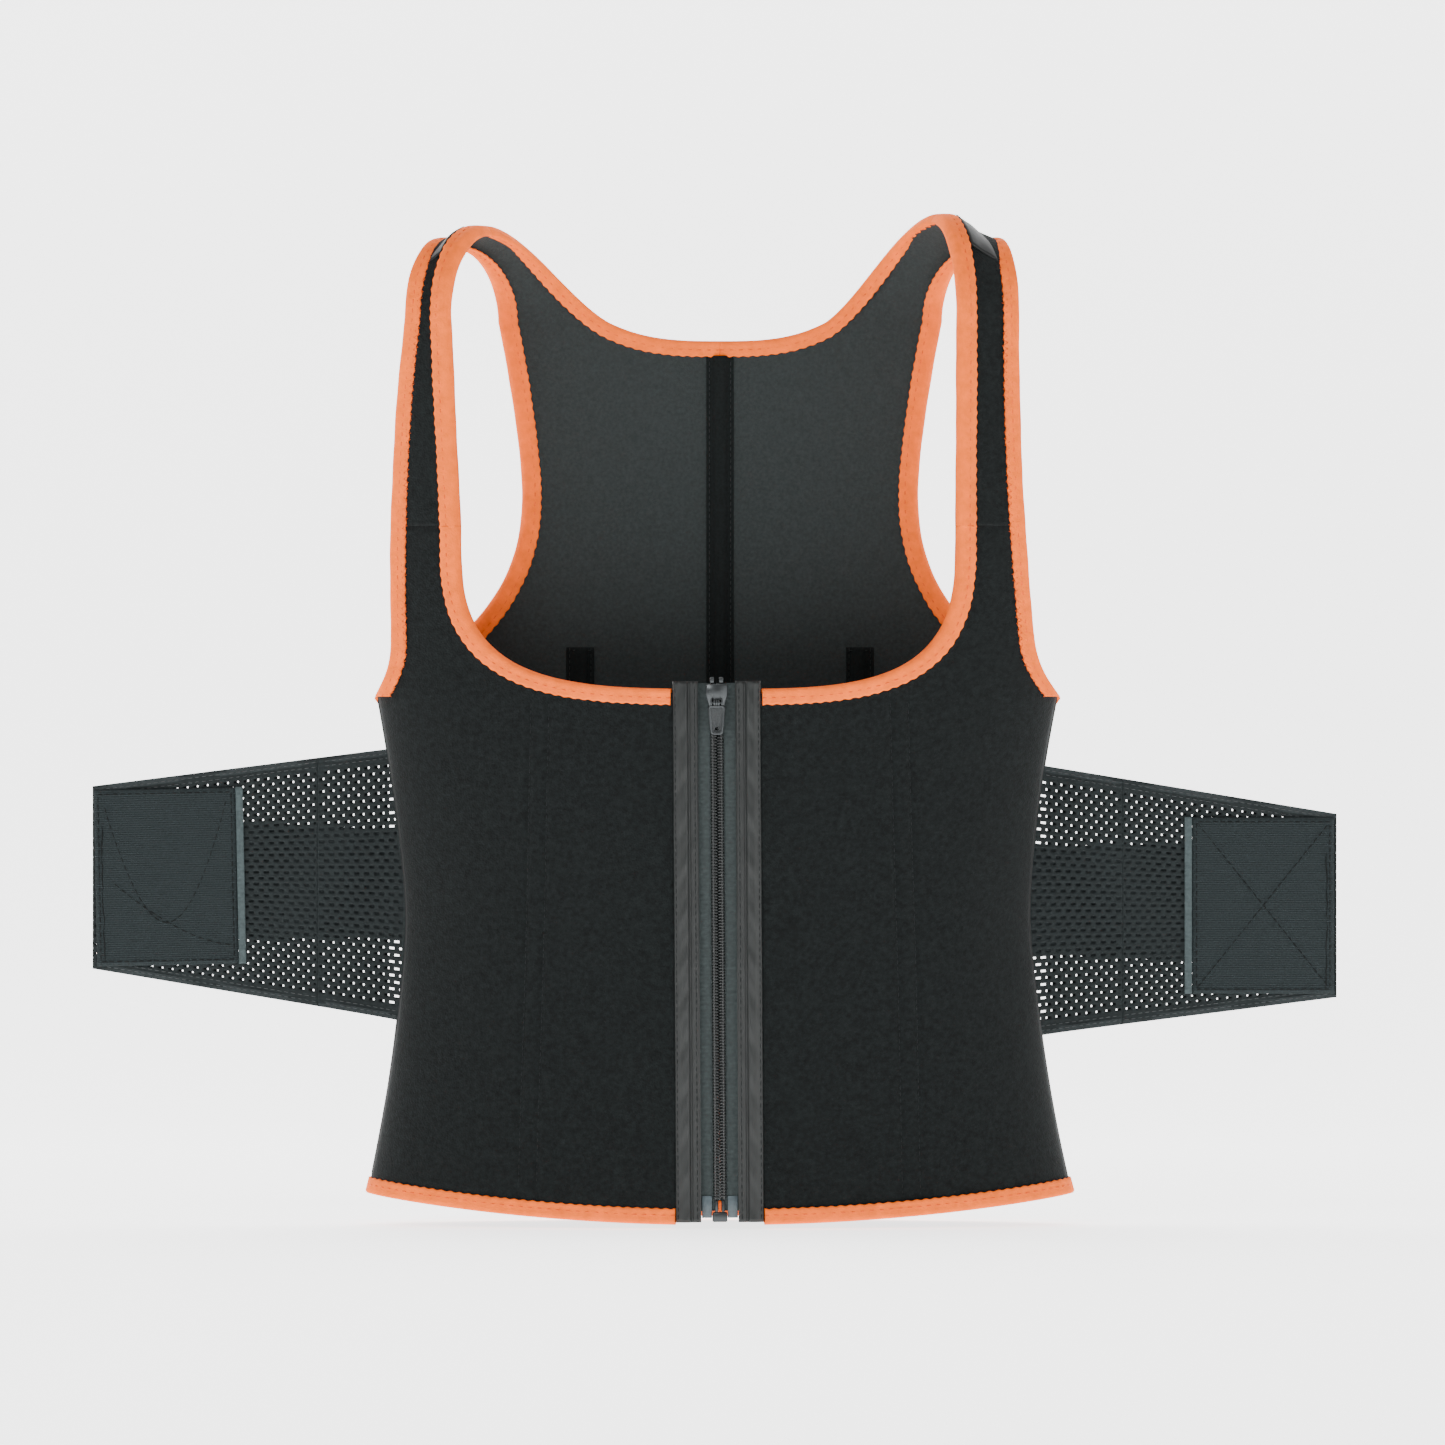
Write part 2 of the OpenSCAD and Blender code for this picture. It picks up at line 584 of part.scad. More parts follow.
module slider_body() {
    half = slider_w / 2;
    color(metal_c) closure() {
        brick([-half, half], [plate_front_y, plate_front_y + slider_plate],
              [slider_low_h, slider_top_h]);
        brick([-half, half], [plate_back_y, plate_back_y + slider_plate],
              [slider_low_h, slider_top_h]);
        brick([-slider_web / 2, slider_web / 2],
              [plate_front_y + slider_plate / 2, plate_back_y + slider_plate / 2],
              [slider_low_h + 5, slider_top_h - 1]);
        for (k = [L, R]) side(k) {
            brick([chain_w / 2 + slider_clear, half],
                  [plate_front_y + slider_plate / 2, over_t - slider_clear],
                  [slider_low_h, slider_top_h]);
            brick([eye_w / 2 + 0.2, eye_w / 2 + 0.2 + lug_w],
                  [puller_y - pin_r - 0.5, plate_front_y + slider_plate / 2],
                  [puller_z - 1.4, puller_z + 2.2]);
        }
        translate([0, puller_y, puller_z]) rotate([0, 90, 0])
            cylinder(r = pin_r, h = eye_w + 2 * lug_w, center = true);
    }
}
module puller_body() {
    plate_top = -eye_r - 0.4;
    color(metal_c) closure() translate([0, puller_y, puller_z]) difference() {
        union() {
            rotate([0, 90, 0]) cylinder(r = eye_r, h = eye_w, center = true);
            brick([-eye_w / 2 + 0.4, eye_w / 2 - 0.4], [-puller_t / 2, puller_t / 2],
                  [plate_top - 1, -eye_r / 2]);
            translate([0, puller_t / 2, 0]) rotate([90, 0, 0]) linear_extrude(puller_t)
                polygon([[-puller_w / 2, plate_top], [puller_w / 2, plate_top],
                         [puller_low_w / 2, eye_r - puller_l], [-puller_low_w / 2, eye_r - puller_l]]);
        }
        rotate([0, 90, 0]) cylinder(r = pin_r + 0.06, h = eye_w + 1, center = true);
        brick([-1, 1], [-puller_t, puller_t], [eye_r + 1.4 - puller_l, eye_r + 3.6 - puller_l]);
    }
}
box_half = 4;
module zip_box_body() {
    color(tape_c) closure() {
        difference() {
            brick([-box_half, box_half], [coil_front - 1, tape_back + 0.6],
                  [box_low_h, box_low_h + box_h]);
            brick([-box_half + 0.9, box_half - 0.9], [coil_front - 0.2, tape_back - 0.2],
                  [box_low_h + 1.2, box_low_h + box_h + 1]);
        }
        brick([-2.4, -0.9], [coil_front + 0.2, coil_front + 2], [box_low_h + 0.6, chain_low_h - 0.3]);
    }
}
module zip_pin_body() {
    color(tape_c) closure() brick([0.9, 2.4], [coil_front + 0.2, coil_front + 2],
                    [box_low_h + 1.6, chain_low_h - 0.3]);
}
module film(k) {
    color(film_c) closure() side(k) brick([placket_in - film_w + 0.9, placket_in - 0.2],
                            [over_t - 0.5, over_t - 0.1], [film_low_h, film_low_h + film_h]);
}

// ---- Belt wings, as flat plates in front view ----
wing_seam_y = back_d * lens(wing_seam_x / chest_half[L]) + over_t + wing_pack + 1;
function fold_x(k, h) = waist_half[k] + wing_side_gap + fold_slope * (h - waist_h);
function fold2_x(k, h) = fold_x(k, h) + wing_fold_l;
function along_wing(k, x) = (x - wing_seam_x) / (wing_tip[k] - wing_seam_x);
function wing_top(k, x) = mix(wing_high[k], tip_low[k] + tip_h[k], along_wing(k, x));
function wing_bottom(k, x) = mix(wing_low[k], tip_low[k], along_wing(k, x));
function wing_mid_h(k, x) = (wing_top(k, x) + wing_bottom(k, x)) / 2;
function corner(k, x, up) = [x, up ? wing_top(k, x) : wing_bottom(k, x)];
function fold_corner(k, second, d, up) =
    let (x = second ? fold2_x(k, wing_mid_h(k, 200)) : fold_x(k, wing_mid_h(k, 170)),
         h = up ? wing_top(k, x) : wing_bottom(k, x))
    [(second ? fold2_x(k, h) : fold_x(k, h)) + d, h];
function band_corner(k, x, d, up) =
    let (h = wing_mid_h(k, x) + (up ? 1 : -1) * band_h / 2)
    [x + d + fold_slope * (h - wing_mid_h(k, x)), h];

module plate(k, outline, t0, t1) {
    side(k) translate([0, wing_y + t1, -hanger_h]) rotate([90, 0, 0])
        linear_extrude(t1 - t0) polygon(outline);
}
// The root plate turns about the first fold, to reach the seam on the back
function root_turn(k) = atan((wing_seam_y - wing_y) / (fold_x(k, waist_h) - wing_seam_x));
module root_plate(k, outline, t0, t1) {
    x = fold_x(k, waist_h);
    a = root_turn(k);
    side(k) translate([x, wing_y, 0]) rotate([0, 0, -a])
        translate([0, t1, -hanger_h]) rotate([90, 0, 0]) linear_extrude(t1 - t0)
        polygon([for (p = outline) [(p[0] - x) / cos(a), p[1]]]);
}
function root_outline(k) = [corner(k, wing_seam_x, false), fold_corner(k, false, -fold_gap, false),
                            fold_corner(k, false, -fold_gap, true), corner(k, wing_seam_x, true)];
function middle_outline(k) =
    [fold_corner(k, false, fold_gap, false), fold_corner(k, true, -fold_gap, false),
     fold_corner(k, true, -fold_gap, true), fold_corner(k, false, fold_gap, true)];
function end_outline(k) =
    [fold_corner(k, true, fold_gap, false), corner(k, wing_tip[k], false),
     corner(k, wing_tip[k], true), fold_corner(k, true, fold_gap, true)];
function band_outline(k, x0, x1, d0, d1) =
    [band_corner(k, x0, d0, false), band_corner(k, x1, d1, false),
     band_corner(k, x1, d1, true), band_corner(k, x0, d0, true)];
mesh_in = band_t / 2 + 0.15;
function fold1_mid(k) = fold_x(k, wing_mid_h(k, 170));
function fold2_mid(k) = fold2_x(k, wing_mid_h(k, 200));

module wing_root(k) {
    color(mesh_c) root_plate(k, root_outline(k), -mesh_in - mesh_t, -mesh_in);
}
module wing_middle(k) {
    color(mesh_c) plate(k, middle_outline(k), -mesh_in - mesh_t, -mesh_in);
    color(mesh_c) plate(k, middle_outline(k), mesh_in, mesh_in + mesh_t);
}
module wing_end(k) {
    color(mesh_c) plate(k, end_outline(k), -mesh_in - mesh_t, -mesh_in);
    color(mesh_c) plate(k, end_outline(k), mesh_in, mesh_in + mesh_t);
}
module band_root(k) {
    color(band_c) root_plate(k, band_outline(k, wing_seam_x, fold1_mid(k), 0, -fold_gap), -band_t / 2, band_t / 2);
}
module band_middle(k) {
    color(band_c) plate(k, band_outline(k, fold1_mid(k), fold2_mid(k), fold_gap, -fold_gap),
          -band_t / 2, band_t / 2);
}
module band_end(k) {
    color(band_c) plate(k, band_outline(k, fold2_mid(k), wing_tip[k] - 3, fold_gap, 0), -band_t / 2, band_t / 2);
}
pad_back = -wing_pack - 0.05;
function pad_in(k) = wing_tip[k] - pad_edge - pad_l;
module hook_pad(k) {
    color(pad_c) side(k) translate([pad_in(k), wing_y + pad_back - pad_t, tip_low[k] + pad_edge - hanger_h])
        cube([pad_l, pad_t, tip_h[k] - 2 * pad_edge]);
}
module pad_trim(k) {
    color(pad_trim_c) side(k) translate([pad_in(k) - pad_trim_w - 0.1, wing_y + pad_back - pad_t / 2,
                       tip_low[k] + pad_edge - hanger_h])
        cube([pad_trim_w, pad_t / 2, tip_h[k] - 2 * pad_edge]);
}

// ---- One node per sub-part ----
back_panel(L);  // back_panel_left
back_panel(R);  // back_panel_right
side_panel(L);  // side_panel_left
side_panel(R);  // side_panel_right
front_panel(L);  // front_panel_left
front_panel(R);  // front_panel_right
shoulder_tape(L);  // shoulder_tape_left
shoulder_tape(R);  // shoulder_tape_right
neck_binding_back();
neck_binding_strap(L);  // neck_binding_strap_left
neck_binding_strap(R);  // neck_binding_strap_right
neck_binding_front(L);  // neck_binding_front_left
neck_binding_front(R);  // neck_binding_front_right
armhole_binding(L);  // armhole_binding_left
armhole_binding(R);  // armhole_binding_right
hem_binding_back();
hem_binding_front(L);  // hem_binding_front_left
hem_binding_front(R);  // hem_binding_front_right
placket(L);  // placket_left
placket(R);  // placket_right
placket_bone(L);  // placket_bone_left
placket_bone(R);  // placket_bone_right
zip_tape(L);  // zip_tape_left
zip_tape(R);  // zip_tape_right
zip_coil(L);  // zip_coil_left
zip_coil(R);  // zip_coil_right
top_stop(L);  // zip_top_stop_left
top_stop(R);  // zip_top_stop_right
slider_body();  // zip_slider
puller_body();  // zip_puller
zip_box_body();  // zip_box
zip_pin_body();  // zip_pin
film(L);  // zip_film_left
film(R);  // zip_film_right
front_casing(L);  // front_casing_left
front_casing(R);  // front_casing_right
front_bone(L);  // front_bone_left
front_bone(R);  // front_bone_right
back_casing_centre();
back_bone_centre();
back_casing(L);  // back_casing_left
back_casing(R);  // back_casing_right
back_bone(L);  // back_bone_left
back_bone(R);  // back_bone_right
wing_root(L);  // wing_root_left
wing_root(R);  // wing_root_right
wing_middle(L);  // wing_middle_left
wing_middle(R);  // wing_middle_right
wing_end(L);  // wing_end_left
wing_end(R);  // wing_end_right
band_root(L);  // band_root_left
band_root(R);  // band_root_right
band_middle(L);  // band_middle_left
band_middle(R);  // band_middle_right
band_end(L);  // band_end_left
band_end(R);  // band_end_right
hook_pad(L);  // hook_pad_left
hook_pad(R);  // hook_pad_right
pad_trim(L);  // pad_trim_left
pad_trim(R);  // pad_trim_right
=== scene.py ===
import math

import bmesh
import bpy
import mathutils
import numpy as np
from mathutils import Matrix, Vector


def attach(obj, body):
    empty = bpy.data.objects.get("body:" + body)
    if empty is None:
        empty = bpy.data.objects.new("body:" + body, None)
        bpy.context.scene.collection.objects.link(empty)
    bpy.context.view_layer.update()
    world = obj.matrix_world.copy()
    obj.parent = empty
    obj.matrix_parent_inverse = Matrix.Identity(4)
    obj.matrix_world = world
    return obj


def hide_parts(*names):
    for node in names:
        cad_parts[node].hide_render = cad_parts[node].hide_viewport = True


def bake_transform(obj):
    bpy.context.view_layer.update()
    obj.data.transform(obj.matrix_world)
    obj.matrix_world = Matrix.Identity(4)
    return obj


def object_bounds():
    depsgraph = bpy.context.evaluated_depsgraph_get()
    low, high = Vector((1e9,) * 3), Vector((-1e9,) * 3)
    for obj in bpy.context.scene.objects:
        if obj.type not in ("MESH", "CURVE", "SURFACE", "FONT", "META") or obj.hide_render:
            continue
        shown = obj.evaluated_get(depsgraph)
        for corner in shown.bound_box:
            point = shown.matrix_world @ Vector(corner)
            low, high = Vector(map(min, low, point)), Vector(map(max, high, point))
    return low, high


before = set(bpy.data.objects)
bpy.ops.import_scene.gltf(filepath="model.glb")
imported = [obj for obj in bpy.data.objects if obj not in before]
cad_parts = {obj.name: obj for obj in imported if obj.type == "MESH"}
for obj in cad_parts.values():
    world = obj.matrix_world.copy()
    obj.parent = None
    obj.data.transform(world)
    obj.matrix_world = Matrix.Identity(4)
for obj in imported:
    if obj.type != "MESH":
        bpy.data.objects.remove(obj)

bl_info = {
    "name": "Bound zip vest",
    "version": (1, 0, 0),
    "blender": (4, 5, 0),
    "location": "View3D > Sidebar > Vest",
    "description": "Makes a zip-front vest with bound edges and mesh belt wings round its frame",
    "category": "Object",
}

# Lengths below are millimetres until a mesh is made. Heights are above the hem's lowest point.
MM = 0.001
CAD_BOX = [list(corner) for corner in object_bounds()]
HANGER_H = -CAD_BOX[0][2] / MM
LEFT, RIGHT = 0, 1
SIDES = (LEFT, RIGHT)
SIDE_NAME = ("left", "right")
SIGN = (-1, 1)
FRONT, BACK = -1, 1

# ---- The shape of the garment, the same as the frame's ----
HEM_HALF = 176.5
HEM_DROP = 14
WAIST_HALF = (158.05, 155.45)
CHEST_HALF = (171.8, 169.2)
WAIST_H, ARMPIT_H = 152, 264
FRONT_D, BACK_D, LUMBAR = 48, 48, 6
NECK_H, NECK_ROUND_H, NECK_N = 268, 350, 3.4
NECK_HALF = (131, 119)
NECK_BACK_H, NECK_BACK_HALF = 445.5, (57, 54)
ARCH_H = 455
TOP_H = (499.5, 505.5)
TOP_OUT_H = 493.5
TOP_IN, TOP_OUT = (116, 107.5), 140
STRAP_IN, STRAP_OUT = (136, 119.5), (157, 149)
STRAP_LOW_OUT, STRAP_BOW = (163, 160), (4, -3)
BACK_STRAP_OUT, NARROW_HALF, NARROW_H = 112, 100, 368
ARMPIT_RISE = 28
ZIP_TOP_H = 272
ZIP_LEAN = 1.75
PLACKET_IN, PLACKET_W = 9.3, 12.7
HINGE_X = ((140, 129), (128, 117))
HINGE_H = (14, 342)


def mix(a, b, t):
    return a + (b - a) * t


def side_x(k, h):
    h = np.asarray(h, float)
    low = mix(WAIST_HALF[k], HEM_HALF,
              np.clip((WAIST_H - h) / (WAIST_H - HEM_DROP), 0, 2) ** 1.6)
    high = mix(WAIST_HALF[k], CHEST_HALF[k],
               np.clip((h - WAIST_H) / (ARMPIT_H - WAIST_H), 0, 1) ** 1.6)
    return np.where(h < WAIST_H, low, high)


def depth(f, h):
    if f == FRONT:
        return np.full_like(np.asarray(h, float), FRONT_D)
    bend = np.cos(np.radians(np.minimum(90, np.abs(h - WAIST_H) * 0.8))) ** 2
    return BACK_D - LUMBAR * bend


def lens(u):
    return np.sqrt(np.maximum(0, 1 - np.minimum(1, np.abs(u)) ** 2.4))


def at(k, f, x, h, s, o):
    """Points in metres: x out from the middle, height h, arch s, moved o out of the cloth."""
    x, h, s, o = np.broadcast_arrays(*(np.asarray(v, float) for v in (x, h, s, o)))
    half = side_x(k, h)
    u = x / half
    rise = np.sqrt(np.maximum(0, 1 - s * s))
    return np.stack([SIGN[k] * u * (half + o), f * (depth(f, h) + o) * lens(u) * s,
                     h + o * rise - HANGER_H], -1) * MM


def hem_edge(x):
    return HEM_DROP * (np.abs(x) / HEM_HALF) ** 2


def neck_x(k, h):
    h = np.asarray(h, float)
    drop = np.clip((NECK_ROUND_H - h) / (NECK_ROUND_H - NECK_H), 0, 1)
    low = NECK_HALF[k] * (1 - drop ** NECK_N) ** (1 / NECK_N)
    high = mix(NECK_HALF[k], STRAP_IN[k], (h - NECK_ROUND_H) / (ARCH_H - NECK_ROUND_H))
    return np.where(h < NECK_ROUND_H, low, high)


def arm_front_x(k, h):
    h = np.asarray(h, float)
    t = (h - ARMPIT_H) / (ARCH_H - ARMPIT_H)
    strap = mix(STRAP_LOW_OUT[k], STRAP_OUT[k], t) + STRAP_BOW[k] * 4 * t * (1 - t)
    hook = np.clip(1 - (h - ARMPIT_H) / ARMPIT_RISE, 0, 1) ** 2
    return strap + (CHEST_HALF[k] + 1 - STRAP_LOW_OUT[k]) * hook


def arm_back_x(k, h):
    h = np.asarray(h, float)
    low = mix(NARROW_HALF, CHEST_HALF[k] + 1,
              np.clip((NARROW_H - h) / (NARROW_H - ARMPIT_H), 0, 1) ** 2.4)
    high = mix(NARROW_HALF, BACK_STRAP_OUT,
               np.clip((h - NARROW_H) / (ARCH_H - NARROW_H), 0, 1) ** 1.5)
    return np.where(h < NARROW_H, low, high)


def arch(k, f, edge, a):
    """An edge over the shoulder, from angle 0 where the arch starts to 90 on top."""
    s = np.cos(np.radians(a))
    climb = np.sin(np.radians(a))
    if edge == "arm":
        return (mix(TOP_OUT, STRAP_OUT[k] if f == FRONT else BACK_STRAP_OUT, s),
                ARCH_H + (TOP_OUT_H - ARCH_H) * climb, s)
    h = ARCH_H + (TOP_H[k] - ARCH_H) * climb
    if f == FRONT:
        return mix(TOP_IN[k], STRAP_IN[k], s), h, s
    t = ((a / 90 + 0.03) ** 0.7 - 0.03 ** 0.7) / (1.03 ** 0.7 - 0.03 ** 0.7)
    return mix(NECK_BACK_HALF[k], TOP_IN[k], t), h, s


def lean_at(k, h):
    return -SIGN[k] * ZIP_LEAN * np.asarray(h, float) / ZIP_TOP_H


# ---- Settings that a user would change ----
class VestSizes(bpy.types.PropertyGroup):
    binding_width: bpy.props.FloatProperty(
        name="Binding width", description="Width of the edge binding",
        default=0.008, min=0.006, max=0.01, unit="LENGTH")
    scallop: bpy.props.FloatProperty(
        name="Scallop pitch", description="Distance between the binding's stitches",
        default=0.0048, min=0.003, max=0.008, unit="LENGTH")
    coil_pitch: bpy.props.FloatProperty(
        name="Coil pitch", description="Distance between the turns of one half of the zip",
        default=0.0015, min=0.001, max=0.003, unit="LENGTH")
    mesh_pitch: bpy.props.FloatProperty(
        name="Mesh pitch", description="Distance between the holes along the belt wings",
        default=0.0051, min=0.004, max=0.01, unit="LENGTH")
    rib_pitch: bpy.props.FloatProperty(
        name="Rib pitch", description="Distance between the ribs of the hook pads",
        default=0.00115, min=0.0008, max=0.003, unit="LENGTH")


def colour_property(name, text, rgb):
    return bpy.props.FloatVectorProperty(
        name=name, description=text, subtype="COLOR", size=3, min=0, max=1, default=rgb)


class VestColours(bpy.types.PropertyGroup):
    outer: colour_property("Outer cloth", "Colour of the outer cloth", (0.0042, 0.0056, 0.0056))
    lining: colour_property("Lining", "Colour of the lining", (0.0185, 0.0235, 0.0235))
    trim: colour_property("Binding", "Colour of the edge binding", (0.95, 0.15, 0.008))
    satin: colour_property("Satin", "Colour of the plackets", (0.0052, 0.0068, 0.0064))
    mesh: colour_property("Wing mesh", "Colour of the belt wings", (0.009, 0.0125, 0.013))
    hook: colour_property("Hook pads", "Colour of the hook pads", (0.0115, 0.0165, 0.0175))


def sizes():
    return bpy.context.scene.vest_sizes


def colours():
    return bpy.context.scene.vest_colours


# ---- Materials ----
class Recipe:
    """A material's nodes, with the Principled shader ready and object coordinates at hand."""

    def __init__(self, name, base, rough=0.8, **sockets):
        self.material = bpy.data.materials.new(name)
        self.material.use_nodes = True
        self.nodes = self.material.node_tree.nodes
        self.links = self.material.node_tree.links
        self.shader = self.nodes["Principled BSDF"]
        self.base = tuple(base)
        self.shader.inputs["Base Color"].default_value = (*base, 1)
        self.shader.inputs["Roughness"].default_value = rough
        for socket, value in sockets.items():
            self.shader.inputs[socket.replace("_", " ")].default_value = value
        self.place = self.nodes.new("ShaderNodeTexCoord").outputs["Object"]
        self.normal = None

    def squeeze(self, scale):
        """The place, scaled separately along each axis."""
        node = self.nodes.new("ShaderNodeVectorMath")
        node.operation = "MULTIPLY"
        node.inputs[1].default_value = scale
        self.links.new(self.place, node.inputs[0])
        return node.outputs[0]

    def noise(self, scale, detail=3, stretch=None, roughness=0.6):
        node = self.nodes.new("ShaderNodeTexNoise")
        node.inputs["Scale"].default_value = scale
        node.inputs["Detail"].default_value = detail
        node.inputs["Roughness"].default_value = roughness
        self.links.new(self.squeeze(stretch) if stretch else self.place, node.inputs["Vector"])
        return node.outputs["Fac"]

    def cells(self, scale, stretch=None):
        node = self.nodes.new("ShaderNodeTexVoronoi")
        node.inputs["Scale"].default_value = scale
        self.links.new(self.squeeze(stretch) if stretch else self.place, node.inputs["Vector"])
        return node.outputs["Distance"]

    def waves(self, scale, direction, distortion=0.0):
        node = self.nodes.new("ShaderNodeTexWave")
        node.bands_direction = direction
        node.inputs["Scale"].default_value = scale
        node.inputs["Distortion"].default_value = distortion
        self.links.new(self.place, node.inputs["Vector"])
        return node.outputs["Fac"]

    def ramp(self, value, low, high, start=0.3, end=0.7):
        node = self.nodes.new("ShaderNodeValToRGB")
        first, last = node.color_ramp.elements
        first.position, first.color = start, (*low, 1)
        last.position, last.color = end, (*high, 1)
        self.links.new(value, node.inputs["Fac"])
        return node.outputs["Color"]

    def tint(self, value, dark, light, start=0.3, end=0.7):
        """Colour that runs with a texture from dark times the base to light times it."""
        colour = self.ramp(value, [dark * c for c in self.base],
                           [min(1, light * c) for c in self.base], start, end)
        self.links.new(colour, self.shader.inputs["Base Color"])
        return self

    def gloss(self, value, low, high):
        node = self.nodes.new("ShaderNodeMapRange")
        node.inputs["To Min"].default_value = low
        node.inputs["To Max"].default_value = high
        self.links.new(value, node.inputs["Value"])
        self.links.new(node.outputs["Result"], self.shader.inputs["Roughness"])
        return self

    def bump(self, value, strength, distance):
        node = self.nodes.new("ShaderNodeBump")
        node.inputs["Strength"].default_value = strength
        node.inputs["Distance"].default_value = distance
        self.links.new(value, node.inputs["Height"])
        if self.normal:
            self.links.new(self.normal, node.inputs["Normal"])
        self.normal = node.outputs["Normal"]
        self.links.new(self.normal, self.shader.inputs["Normal"])
        return self


def outer_cloth():
    r = Recipe("outer_cloth", colours().outer, 0.95, Sheen_Weight=0.04, Sheen_Roughness=0.6,
               Specular_IOR_Level=0.12)
    r.tint(r.noise(420, 5), 0.55, 1.75, 0.32, 0.7)
    r.bump(r.cells(900), 0.5, 0.0004)
    return r.bump(r.noise(1500, 3), 0.6, 0.0003).material


def lining_cloth():
    r = Recipe("lining_cloth", colours().lining, 0.9, Sheen_Weight=0.05,
               Specular_IOR_Level=0.2)
    r.tint(r.noise(600, 4), 0.8, 1.25)
    return r.bump(r.cells(1200, (1, 1, 1.3)), 0.4, 0.0003).material


def binding_cloth():
    r = Recipe("edge_binding", colours().trim, 0.75, Specular_IOR_Level=0.15)
    r.tint(r.noise(160, 4), 0.84, 1.06)
    r.bump(r.cells(1100), 0.45, 0.0003)
    return r.bump(r.noise(260, 2), 0.35, 0.0005).material


def thread(name, base):
    r = Recipe(name, base, 0.7, Specular_IOR_Level=0.2)
    return r.tint(r.noise(2500, 2), 0.8, 1.2).material


def satin():
    r = Recipe("satin_tape", colours().satin, 0.42, Specular_IOR_Level=0.42)
    grain = r.noise(60, 3, (30, 30, 1))
    r.tint(grain, 0.7, 1.5).gloss(grain, 0.3, 0.5)
    r.bump(r.noise(90, 2, (1, 1, 0.5)), 0.25, 0.0008)
    return r.bump(r.noise(150, 3, (20, 20, 1)), 0.3, 0.0002).material


def glossy_tape():
    r = Recipe("glossy_tape", (0.005, 0.006, 0.006), 0.5, Specular_IOR_Level=0.3)
    return r.bump(r.noise(250, 3), 0.3, 0.0004).material


def casing_tape():
    r = Recipe("casing_tape", (0.0042, 0.006, 0.006), 0.9, Specular_IOR_Level=0.15)
    r.tint(r.noise(700, 3), 0.7, 1.4)
    return r.bump(r.noise(1500, 3), 0.4, 0.0003).material


def woven(name, base, rough=0.7, scale=900):
    r = Recipe(name, base, rough, Specular_IOR_Level=0.2)
    r.tint(r.noise(500, 3), 0.8, 1.25)
    r.bump(r.waves(scale / 6.28, "Z"), 0.35, 0.0002)
    return r.bump(r.noise(1800, 2), 0.4, 0.0002).material


def coil_nylon():
    r = Recipe("zip_coil", (0.010, 0.012, 0.012), 0.28, Specular_IOR_Level=0.6)
    return r.bump(r.noise(900, 2), 0.15, 0.0001).material


def dark_metal():
    r = Recipe("zip_metal", (0.055, 0.06, 0.062), 0.3, Metallic=0.85)
    r.gloss(r.noise(400, 4), 0.22, 0.42)
    return r.bump(r.noise(1200, 2), 0.1, 0.0001).material


def pitted_metal():
    r = Recipe("zip_metal_pitted", (0.03, 0.033, 0.034), 0.55, Metallic=0.7)
    r.tint(r.noise(3000, 2), 0.6, 1.6)
    return r.bump(r.cells(2600), 0.7, 0.0002).material


def film_plastic():
    r = Recipe("zip_film", (0.067, 0.091, 0.103), 0.35, Specular_IOR_Level=0.5)
    r.tint(r.noise(350, 3), 0.8, 1.2)
    return r.bump(r.noise(700, 2), 0.3, 0.0002).material


def bone_plastic():
    r = Recipe("bone_plastic", (0.52, 0.52, 0.48), 0.45)
    return r.tint(r.noise(200, 2), 0.93, 1.03).material


def hook_tape():
    r = Recipe("hook_tape", colours().hook, 0.75, Specular_IOR_Level=0.2)
    r.tint(r.noise(1300, 3), 0.6, 1.5)
    return r.bump(r.noise(2600, 3), 0.7, 0.0004).material


def studio_white():
    r = Recipe("studio_white", (0.9, 0.9, 0.9), 0.9, Emission_Strength=2.4,
               Emission_Color=(1, 1, 1, 1))
    return r.tint(r.noise(2, 2), 0.995, 1.0).material


_made = {}


def material(maker, *args):
    """Each material is made once and then shared."""
    key = (maker.__name__, *args[:1])
    if key not in _made:
        _made[key] = maker(*args)
    return _made[key]


# ---- Mesh helpers; points are metres ----
def piece(name, points, faces, materials, face_material=None, smooth=True):
    mesh = bpy.data.meshes.new(name)
    mesh.from_pydata([tuple(p) for p in np.asarray(points, float).reshape(-1, 3)], [],
                     [tuple(int(i) for i in f) for f in faces])
    for m in materials:
        mesh.materials.append(m)
    if face_material is not None:
        mesh.polygons.foreach_set("material_index", np.asarray(face_material, np.int32))
    made = bmesh.new()
    made.from_mesh(mesh)
    bmesh.ops.recalc_face_normals(made, faces=made.faces)
    made.to_mesh(mesh)
    made.free()
    mesh.polygons.foreach_set("use_smooth", [smooth] * len(mesh.polygons))
    obj = bpy.data.objects.new(name, mesh)
    bpy.context.scene.collection.objects.link(obj)
    return obj


def grid_faces(rows, columns, start=0, closed=False):
    """Quads between rows of points; closed joins each row's end to its start."""
    i, j = np.meshgrid(np.arange(rows - 1), np.arange(columns if closed else columns - 1),
                       indexing="ij")
    i, j = i.ravel(), j.ravel()
    k = (j + 1) % columns
    return np.stack([i * columns + j, i * columns + k, (i + 1) * columns + k,
                     (i + 1) * columns + j], -1) + start


